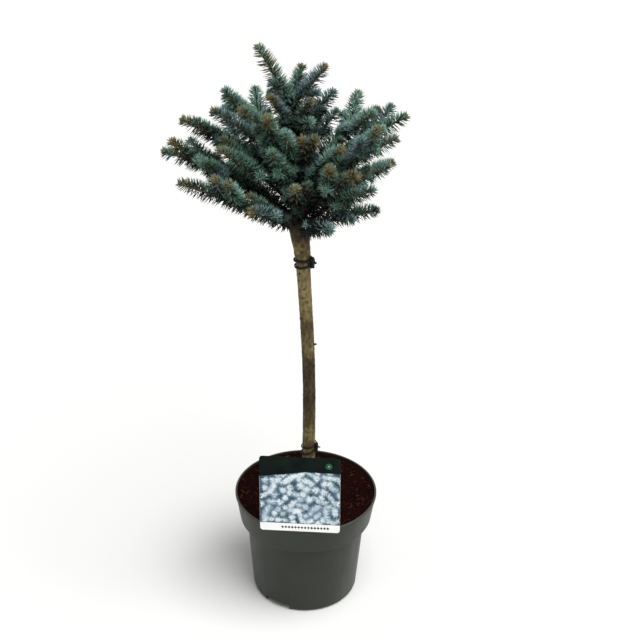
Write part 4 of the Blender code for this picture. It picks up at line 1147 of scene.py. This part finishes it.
CORE_RADIUS = 6.0 * MM
CORE_TIP_RADIUS = 2.2 * MM
CORE_SWELL = 9 * MM
SHOOT_FIRST = 0.52
SHOOT_STEP = 0.09
SHOOT_SHIFTS = (-0.4, 0.4)
SHOOT_SHARE = 0.47
SHOOT_LENGTHS = (0.88, 1.08)
SHOOT_SHORTENING = 0.96
SHOOT_SPREADS = (0.8, 1.15)
SHOOT_RISES = (-14, 12)
SHOOT_SHORTEST = 38 * MM
SHOOT_LONGEST = 76 * MM
SHOOT_SPREAD = 46
SHOOT_LIFT = 12
SHOOT_ATTEMPTS = 14
TRUNK_OWNER = -1
LIMB_OWNER = -2
TRUNK_CUT = 176.3 * MM
CHAIN_STEP = 2 * MM
SHOOT_ROOM = 1.0 * MM
SHOOT_TONES = (0.25, 0.9)
SHOOT_FOOT_RADIUS = 2.1 * MM
TWIG_PITCH = 18 * MM
TWIGGY_SHARE = 0.7
TWIG_LENGTHS = (24 * MM, 36 * MM)
TWIG_SPREADS = (42, 62)
TWIG_RISES = (-14, 20)
TWIG_SHIFTS = (-0.3, 0.3)
TWIG_SHORTENING = 0.3
TWIG_FOLLOWING = 0.5
STEEP_RISE = 38
OUTWARD_SPREAD = 16
OUTWARD_RISES = (0, 24)
TWIG_LIFT = 10
TWIG_TONES = (0.3, 0.6)
TWIG_RADII = (1.6 * MM, 1.1 * MM)
TWIG_ROOM = 2 * MM
TWIG_APART = 10 * MM
TWIG_ATTEMPTS = 4
TIPS = ("green", "olive", "golden", "bronze")
TIP_SHARES = (0.42, 0.4, 0.15, 0.03)
INNER_SHARE = 0.3


class Growth:
    """Balls along every stem, against which each new shoot is tested."""

    def __init__(self):
        self.balls = []
        self.table = None

    def add(self, owner, chain):
        """Add a chain of (point, radius) that belongs to an owner."""
        self.balls += [(*point, radius, owner) for point, radius in chain]
        self.table = None

    def room(self, owner, point, others):
        """Distance from a point to the nearest surface of others' growth, or of the owner's."""
        if self.table is None:
            self.table = np.array(self.balls)
        rows = self.table[(self.table[:, 4] != owner) == others]
        return np.min(np.linalg.norm(rows[:, :3] - point, axis=1) - rows[:, 3])

    def has_room(self, owner, chain, margin):
        """True where a chain of (point, radius) clears what others hold."""
        return all(self.room(owner, point, True) >= radius + margin for point, radius in chain)


def core_chain(arc, start, end, foot_radius):
    """Balls along a spray's core, which swells from its stem and narrows to its bud."""
    count = max(2, round((end - start) / CHAIN_STEP))
    along = start + (end - start) * np.arange(count + 1) / count
    swell = np.clip((along - start) / CORE_SWELL, 0, 1)
    narrow = np.clip((end - along) / CORE_SWELL, 0, 1)
    swollen = foot_radius + (CORE_RADIUS - foot_radius) * swell
    radii = CORE_TIP_RADIUS + (swollen - CORE_TIP_RADIUS) * narrow
    return list(zip(along_arc(arc, along)[0], radii))


def shoot_arcs(bough, rng):
    """Side shoots of a bough by turns to the left and right, each with a few places to try."""
    main = bough_arc(bough)
    shoots = []
    for number in range(bough.shoots):
        places = []
        for attempt in range(SHOOT_ATTEMPTS):
            side = 1 if (number + len(bough.name) + attempt) % 2 else -1
            share = SHOOT_FIRST + SHOOT_STEP * (number + rng.uniform(*SHOOT_SHIFTS) * attempt)
            length = main.length * SHOOT_SHARE * rng.uniform(*SHOOT_LENGTHS)
            length *= SHOOT_SHORTENING ** attempt
            length = min(SHOOT_LONGEST, max(SHOOT_SHORTEST, length))
            spread = SHOOT_SPREAD * rng.uniform(*SHOOT_SPREADS)
            rise = main.rise + main.bend * share + rng.uniform(*SHOOT_RISES)
            foot = along_arc(main, main.length * share)[0]
            places.append(Arc(foot, main.azimuth + side * spread, rise, SHOOT_LIFT, length))
        shoots.append(places)
    return shoots


def crest_arcs():
    """The two shoots beside the crest's longest one, each with its one place."""
    main = bough_arc(CREST)
    return [[Arc(along_arc(main, along * MM)[0], azimuth, rise, CREST_SHOOT_LIFT, length * MM)]
            for along, azimuth, rise, length in CREST_SHOOTS]


def twig_arcs(arc, start, rng):
    """Finer twigs of a shoot to its left and right, and outwards on a steep one, with places."""
    twigs = []
    for number in range(1, int((TWIGGY_SHARE * arc.length - start) / TWIG_PITCH)):
        places = []
        for attempt in range(TWIG_ATTEMPTS):
            side = 1 if (number + attempt) % 2 else -1
            along = start + TWIG_PITCH * (number + rng.uniform(*TWIG_SHIFTS))
            share = along / arc.length
            length = rng.uniform(*TWIG_LENGTHS) * (1 - TWIG_SHORTENING * share)
            climb = arc.rise + arc.bend * share
            spread = rng.uniform(*TWIG_SPREADS)
            rise = TWIG_FOLLOWING * climb + rng.uniform(*TWIG_RISES)
            if climb > STEEP_RISE and number % 2:
                spread = rng.uniform(0, OUTWARD_SPREAD)
                rise = rng.uniform(*OUTWARD_RISES)
            places.append(Arc(along_arc(arc, along)[0], arc.azimuth + side * spread, rise,
                              TWIG_LIFT, length))
        twigs.append(places)
    return twigs


growth = Growth()
height = TRUNK_CUT
while height < TRUNK_TOP:
    growth.add(TRUNK_OWNER, [(trunk_point(height), trunk_radius(height))])
    height += CHAIN_STEP
for owner, bough in enumerate(CROWN):
    main = bough_arc(bough)
    bare = bough.bare * MM
    along = np.arange(int(bare / CHAIN_STEP)) * CHAIN_STEP
    radii = LIMB_FOOT_RADIUS + (LIMB_TIP_RADIUS - LIMB_FOOT_RADIUS) * along / bare
    growth.add(LIMB_OWNER if bough.bare >= SHORTEST_LIMB else owner,
               zip(along_arc(main, along)[0], radii))
    growth.add(owner, core_chain(main, bare, main.length - BUD_LENGTH, LIMB_TIP_RADIUS))

shoot_rng = random.Random(GROWTH_SEED)
shoots = []
for owner, bough in enumerate(CROWN):
    kept = []
    for places in crest_arcs() if bough is CREST else shoot_arcs(bough, shoot_rng):
        for arc in places:
            chain = core_chain(arc, 0.0, arc.length - BUD_LENGTH, LIMB_TIP_RADIUS)
            free = [(point, radius) for point, radius in chain
                    if np.linalg.norm(point - arc.foot) > CORE_SWELL]
            if growth.has_room(owner, free, SHOOT_ROOM):
                kept.append(arc)
                growth.add(owner, chain)
                break
    shoots.append(kept)

# A spray is the needled end of one shoot: its owner's number, its arc, where it starts, whether it
# is a fine twig, and whether its tip is green, olive, golden or bronze.
Spray = namedtuple("Spray", "owner arc start fine tip")
sprays = []
twig_tubes = []
for owner, bough in enumerate(CROWN):
    spans = [(bough_arc(bough), bough.bare * MM)] + [(arc, 0.0) for arc in shoots[owner]]
    for arc in shoots[owner]:
        end = arc.length - TIP_LENGTH
        radii = (0.0, SHOOT_FOOT_RADIUS), (end, TWIG_TIP_RADIUS)
        twig_tubes.append(twig_tube(arc, end, radii, SHOOT_TONES, detail_rng))
    tips = [bough.tip] + list(detail_rng.choice(TIPS, len(spans) - 1, p=TIP_SHARES))
    sprays += [Spray(owner, arc, start, False, tip) for (arc, start), tip in zip(spans, tips)]
    for arc, start in spans:
        for places in twig_arcs(arc, start * INNER_SHARE, shoot_rng):
            for place in places:
                tip = along_arc(place, place.length)[0]
                chain = core_chain(place, 0.0, place.length, TWIG_TIP_RADIUS)
                free = [(point, 0.0) for point, radius in chain]
                if (growth.has_room(owner, free, TWIG_ROOM)
                        and growth.room(owner, tip, False) > TWIG_APART):
                    sprays.append(Spray(owner, place, 0.0, True, "green"))
                    growth.add(owner, [(point, TWIG_TIP_RADIUS) for point, radius in chain])
                    end = place.length - TIP_LENGTH
                    radii = (0.0, TWIG_RADII[0]), (end, TWIG_RADII[1])
                    twig_tubes.append(twig_tube(place, end, radii, TWIG_TONES, detail_rng))
                    break
twigs = bark_piece("twigs", twig_tubes)


# Buds: a resting bud of papery brown scales ends every shoot, often with one or two smaller ones
# beside it.

BUD_SCALE_ROWS = ((0.0, 6), (0.22, 6), (0.46, 5))
BUD_SCALE_BREADTH = 0.55
BUD_SCALE_CORNERS = ((-1, 0.92, 0.0, 0.0), (1, 0.92, 0.0, 0.0), (0, 1.28, 0.0, 0.2),
                     (0, 1.06, 0.5, 0.42), (0, 0.5, 0.0, 0.1))
BUD_SIZE = (2.8 * MM, 7.5 * MM)
BUD_SHRINK = (0.75, 1.1)
BUD_RINGS = ((0.0, 0.6), (0.25, 0.97), (0.6, 0.9), (0.88, 0.45), (1.0, 0.06))
BUD_SIDES = 6
SIDE_BUDS = {"green": (1.0, 0.0, 0.0), "olive": (0.5, 0.4, 0.1), "golden": (0.0, 0.4, 0.6),
             "bronze": (0.0, 0.5, 0.5)}
BUD_SCALE = {"green": 0.7, "olive": 0.8, "golden": 0.88, "bronze": 0.85}
SIDE_BUD_SPREAD = 60
SIDE_BUD_SIZE = 0.75
BUD_SET = 1 * MM
BUD_ROLL = 0.3
BUD_COLOURS = (
    ("bud_weathered", "#2f2c20", "#4f4a36"),
    ("bud_dull", "#4a3a20", "#7d673c"),
    ("bud_fresh", "#5a4624", "#a28349"),
)


def bud_pattern():
    """One bud up +Z, of length and width one: a smooth core in rows of pointed scales."""
    heights, radii = np.transpose(BUD_RINGS)
    parts = [closed_tube([(0.0, 0.0, rise) for rise in heights], radii, BUD_SIDES, (0.0, 1.0, 0.0))]
    faces = np.array([(0, 1, 2), (0, 2, 3), (2, 1, 3), (0, 3, 4), (3, 1, 4), (1, 0, 4)])
    for row, (foot, count) in enumerate(BUD_SCALE_ROWS):
        for number in range(count):
            turn = 360 * (number + 0.5 * row) / count
            half = BUD_SCALE_BREADTH * 360 / count
            parts.append((np.array([
                heading(turn + side * half, 0) * (out - narrowing * foot)
                + np.array([0.0, 0.0, foot + rise])
                for side, out, narrowing, rise in BUD_SCALE_CORNERS]), faces))
    return stacked(parts)


def spray_frame(arc, along):
    """Point on an arc and the directions to its side, its upper side and its tip there."""
    point, ahead = along_arc(arc, along)
    turn = math.radians(arc.azimuth)
    side = np.broadcast_to((math.sin(turn), -math.cos(turn), 0.0), ahead.shape)
    return point, side, np.cross(side, ahead), ahead


def papery_scales(tree, place, dark, light):
    """Papery bud scales: matte brown, paler in patches as small as a scale."""
    patches = node(tree, "ShaderNodeTexNoise", {
        "Vector": place, "Scale": 1 / (1.2 * MM), "Detail": 2})
    colour = toned(tree, patches, linear(dark), linear(light))
    return {"Base Color": colour, "Roughness": 0.6}


bud_verts, bud_faces = bud_pattern()
bud_corners = []
bud_tones = []
for spray in sprays:
    point, side, up, ahead = spray_frame(spray.arc, spray.arc.length - TIP_LENGTH - BUD_SET)
    aims = [(ahead, 1.0)]
    for number in range(detail_rng.choice(3, p=SIDE_BUDS[spray.tip])):
        roll = detail_rng.uniform(0, 2 * math.pi)
        spread = math.radians(SIDE_BUD_SPREAD)
        out = side * math.sin(roll) + up * math.cos(roll)
        aims.append((ahead * math.cos(spread) + out * math.sin(spread), SIDE_BUD_SIZE))
    for aim, size in aims:
        size = size * BUD_SCALE[spray.tip] * detail_rng.uniform(*BUD_SHRINK)
        across = np.cross(aim, up + BUD_ROLL * side)
        across /= np.linalg.norm(across)
        axes = np.stack([across * BUD_SIZE[0], np.cross(aim, across) * BUD_SIZE[0],
                         aim * BUD_SIZE[1]]) * size
        bud_corners.append(bud_verts @ axes + point)
        bud_tones.append(min(TIPS.index(spray.tip), len(BUD_COLOURS) - 1))
buds = piece_of(
    joined_mesh("buds", *many((bud_verts, bud_faces), np.array(bud_corners)),
                np.repeat(bud_tones, len(bud_faces))),
    *[material(name, papery_scales, dark, light) for name, dark, light in BUD_COLOURS])
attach(buds, "root")


# Needles: stiff, four-sided and sharp, 10 to 18 mm long, all round each shoot but fewer below,
# where they bend up to the light. Wax makes the young ones blue grey, and old ones are green.

NEEDLE_PITCH = 0.16 * MM
NEEDLE_UNDER = 0.34
NEEDLE_FIRST = 0.4
NEEDLE_LENGTH = 17.6 * MM
NEEDLE_LENGTHS = (0.9, 1.03)
NEEDLE_HALF_WIDTH = 0.76 * MM
NEEDLE_HALF_THICKNESS = 0.56 * MM
NEEDLE_TILTS = (79, 46)
TILT_SPREAD = 0.08
ROLL_SPREAD = 0.2
NEEDLE_CLOSING = 8 * MM
NEEDLE_SHORTENING = 0.4
NEEDLE_FADE = 13 * MM
NEEDLE_FORWARD = 0.12
NEEDLE_LIFT = 0.16
NEEDLE_TWIST = np.array([0.013, 0.007, 0.0])
NEEDLE_RINGS = ((0.0, 0.75), (0.62, 1.0))
GOLDEN_ANGLE = math.radians(137.5)
COLLAR_NEEDLES = 26
COLLAR_TILTS = (10, 66)
COLLAR_DEPTH = 2 * MM
COLLAR_OLIVE = 0.75
COLLAR_NEEDLE_LENGTHS = (6.5 * MM, 9.5 * MM)
# The first tint, near black, is that of old needles and also the painted shade of the crown's heart
# and of the undersides of shoots.
NEEDLE_TINTS = (
    ("needle_old_green", "#111814"),
    ("needle_green", "#435f4f"),
    ("needle_teal", "#5d806e"),
    ("needle_blue", "#74998d"),
    ("needle_pale_blue", "#84a39a"),
    ("needle_slate", "#557072"),
    ("needle_grey_blue", "#708a8e"),
    ("needle_frost_blue", "#839a9e"),
    ("needle_tip_olive", "#6a6746"),
    ("needle_tip_brown", "#7d683f"),
)
TINT_SHARES = (0.0, 0.1, 0.42, 0.48, 0.0)
SHADE_SHARES = (0.35, 0.4, 0.25, 0.0, 0.0)
SHADE_DISTANCE = 30 * MM
SHADE_FADE = 35 * MM
SHADE_HEIGHT = 620 * MM
SHADE_CLIMB = 0.25
# Painted shade: needles near the stem low in the crown, or round the leader, take the near-black
# first tint.
HEART_RADII = (45 * MM, 76 * MM)
HEART_HEIGHTS = (650 * MM, 705 * MM)
LEADER_RADII = (12 * MM, 30 * MM)
LEADER_HEIGHT = 770 * MM
BLUER = np.array([0, 1, 5, 6, 7])
BLUER_SHARE = 0.3
TINT_SHIFTS = (0.25, 0.45, 0.3)
OLD_LENGTH = 18 * MM
OLIVE, BROWN = 8, 9
TIP_LENGTHS = {"green": (0.0, 0.1 * MM), "olive": (2 * MM, 18 * MM), "golden": (6 * MM, 24 * MM),
               "bronze": (18 * MM, 80 * MM)}
TIP_BROWN = {"green": 0.05, "olive": 0.15, "golden": 0.35, "bronze": 0.5}
TIP_SHARE = 0.6
TIP_RAGGED = (0.3, 1.3)
UNDERSIDE = -0.1
UNDER_DARKER = 0.5


def waxy_skin(tree, place, colour):
    """Needle skin: one tint, satin under its bloom of wax, which dulls it in patches."""
    wax = node(tree, "ShaderNodeTexNoise", {"Vector": place, "Scale": 1 / (3 * MM)})
    gloss = node(tree, "ShaderNodeMapRange", {
        "Value": wax, "From Min": 0.3, "From Max": 0.7, "To Min": 0.38, "To Max": 0.62})
    return {"Base Color": linear(colour), "Roughness": gloss, "IOR": 1.45}


def needle_faces():
    """Triangles of one needle: two spans of four sides, its point and its closed root."""
    faces = [(0, 1, 2), (0, 2, 3)]
    for ring in range(len(NEEDLE_RINGS) - 1):
        for side in range(4):
            here = 4 * ring + side
            after = 4 * ring + (side + 1) % 4
            faces += [(here, after + 4, after), (here, here + 4, after + 4)]
    last = 4 * (len(NEEDLE_RINGS) - 1)
    faces += [(last + (side + 1) % 4, last + side, last + 4) for side in range(4)]
    return np.array(faces)


def needle_corners(roots, first, last, lengths):
    """Corners of curved needles that leave along first and end along last."""
    across = np.cross(first, last + NEEDLE_TWIST)
    across /= np.linalg.norm(across, axis=1)[:, None]
    corners = []
    for share, width in NEEDLE_RINGS:
        middle = roots + lengths[:, None] * ((share - share ** 2 / 2) * first
                                             + share ** 2 / 2 * last)
        ahead = first * (1 - share) + last * share
        ahead /= np.linalg.norm(ahead, axis=1)[:, None]
        upper = np.cross(across, ahead)
        corners += [middle + across * width * NEEDLE_HALF_WIDTH,
                    middle + upper * width * NEEDLE_HALF_THICKNESS,
                    middle - across * width * NEEDLE_HALF_WIDTH,
                    middle - upper * width * NEEDLE_HALF_THICKNESS]
    corners.append(roots + lengths[:, None] * (first + last) / 2)
    return np.stack(corners, 1)


def from_stem(points):
    """Distances of points from the stem's axis."""
    return np.hypot(points[..., 0] - trunk_shift(points[..., 2]), points[..., 1])


def needle_tints(spray, tint, along, roll, rng):
    """Tints of needles: greener where old, darker below with painted shade, near black as painted
    shade in the heart, dried at the tip.
    """
    count = len(along)
    tints = np.full(count, tint)
    old = along - spray.start < rng.exponential(OLD_LENGTH, count) * (not spray.fine)
    tints[old] = np.maximum(0, tints[old] - 1 - rng.integers(0, 2, int(old.sum())))
    tints = np.clip(tints + rng.choice((-1, 0, 1), count, p=TINT_SHIFTS), 0, len(TINT_SHARES) - 1)
    # Needles under the shoot are darker: partly their greener underside, partly painted shade.
    below = np.cos(roll) < UNDERSIDE
    darker = 1 + (rng.random(int(below.sum())) < UNDER_DARKER)
    tints[below] = np.maximum(0, tints[below] - darker)
    roots = along_arc(spray.arc, along)[0]
    # Painted shade: needles in the heart of the crown, round the leader and on the bare inner stem
    # are near black.
    heart = from_stem(roots) < rng.uniform(*HEART_RADII, count)
    heart &= roots[:, 2] < rng.uniform(*HEART_HEIGHTS, count)
    heart |= (from_stem(roots) < rng.uniform(*LEADER_RADII, count)) & (roots[:, 2] < LEADER_HEIGHT)
    tints[heart | (along < spray.start)] = 0
    if rng.random() < BLUER_SHARE:
        tints = BLUER[tints]
    ragged = rng.uniform(*TIP_RAGGED, count)
    end = spray.arc.length - TIP_LENGTH
    changed = end - along < ragged * rng.uniform(*TIP_LENGTHS[spray.tip])
    changed &= rng.random(count) < TIP_SHARE
    brown = rng.random(count) < TIP_BROWN[spray.tip]
    tints[changed] = np.where(brown, BROWN, OLIVE)[changed]
    return tints


def needles_of(spray, tint, rng):
    """Roots, first and last directions, lengths and tints of a spray's needles."""
    end = spray.arc.length - TIP_LENGTH
    inner = INNER_SHARE * spray.start
    count = int((end - inner) / NEEDLE_PITCH)
    along = inner + (end - inner) * (np.arange(count) + rng.random(count)) / count
    roll = GOLDEN_ANGLE * np.arange(count) + rng.normal(0, ROLL_SPREAD, count)
    kept = rng.random(count) < NEEDLE_UNDER + (1 - NEEDLE_UNDER) * (1 + np.cos(roll)) / 2
    kept &= rng.random(count) < np.interp(along, (inner, spray.start + 1 * MM), (NEEDLE_FIRST, 1.0))
    along, roll = along[kept], roll[kept]
    count = len(along)
    closing = np.exp((along - end) / NEEDLE_CLOSING)
    tilt = np.radians(NEEDLE_TILTS[0] + (NEEDLE_TILTS[1] - NEEDLE_TILTS[0]) * closing)
    tilt += rng.normal(0, TILT_SPREAD, count)
    lengths = NEEDLE_LENGTH * rng.uniform(*NEEDLE_LENGTHS, count)
    lengths *= 1 - NEEDLE_SHORTENING * np.exp((along - end) / NEEDLE_FADE)
    tints = needle_tints(spray, tint, along, roll, rng)
    collar = rng.random(COLLAR_NEEDLES)
    around = 2 * math.pi * (np.arange(COLLAR_NEEDLES) + collar) / COLLAR_NEEDLES
    along = np.concatenate([along, end - COLLAR_DEPTH * collar])
    roll = np.concatenate([roll, around])
    tilt = np.concatenate([tilt, np.radians(rng.uniform(*COLLAR_TILTS, COLLAR_NEEDLES))])
    lengths = np.concatenate([lengths, rng.uniform(*COLLAR_NEEDLE_LENGTHS, COLLAR_NEEDLES)])
    ring = np.full(COLLAR_NEEDLES, tint)
    if spray.tip != "green":
        ring[rng.random(COLLAR_NEEDLES) < COLLAR_OLIVE] = OLIVE
        ring[rng.random(COLLAR_NEEDLES) < TIP_BROWN[spray.tip]] = BROWN
    roots, side, up, ahead = spray_frame(spray.arc, along)
    out = side * np.sin(roll)[:, None] + up * np.cos(roll)[:, None]
    first = ahead * np.cos(tilt)[:, None] + out * np.sin(tilt)[:, None]
    last = first + ahead * NEEDLE_FORWARD + np.array([0.0, 0.0, NEEDLE_LIFT])
    last /= np.linalg.norm(last, axis=1)[:, None]
    return roots, first, last, lengths, np.concatenate([tints, ring])


def tint_shares(spray):
    """Shares of the five greens in a spray: darker for a fine twig in the heart, as painted shade.
    """
    tip = along_arc(spray.arc, spray.arc.length)[0]
    place = from_stem(tip) + SHADE_CLIMB * (tip[2] - SHADE_HEIGHT) - SHADE_DISTANCE
    light = min(1.0, max(0.0, place / SHADE_FADE)) if spray.fine else 1.0
    return light * np.array(TINT_SHARES) + (1 - light) * np.array(SHADE_SHARES)


def clear_of_stem(points):
    """True for each point of a needle that doesn't run into the stem."""
    return from_stem(points) > trunk_radius(points[:, 2], 0.0)


needle_rng = np.random.default_rng(DETAIL_SEED + 1)
regions = {}
for spray in sprays:
    region = CROWN[spray.owner].name.split("_")[0].replace("crest", "top")
    tint = needle_rng.choice(len(TINT_SHARES), p=tint_shares(spray))
    *shape, tints = needles_of(spray, tint, needle_rng)
    corners = needle_corners(*shape)
    clear = clear_of_stem(corners[:, -1]) & clear_of_stem(corners[:, 4])
    regions.setdefault(region, []).append((corners[clear], tints[clear], spray.owner))
needle_skins = [material(name, waxy_skin, colour) for name, colour in NEEDLE_TINTS]
needle_shape = needle_faces()
for region, parts in regions.items():
    corners, tints, owners = zip(*parts)
    corners = np.concatenate(corners)
    needles = piece_of(
        joined_mesh("needles_" + region, *many((corners[0], needle_shape), corners),
                    np.repeat(np.concatenate(tints), len(needle_shape))), *needle_skins)
    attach(needles, "root")
    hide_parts(*sorted({"foliage_" + CROWN[owner].name for owner in owners}))
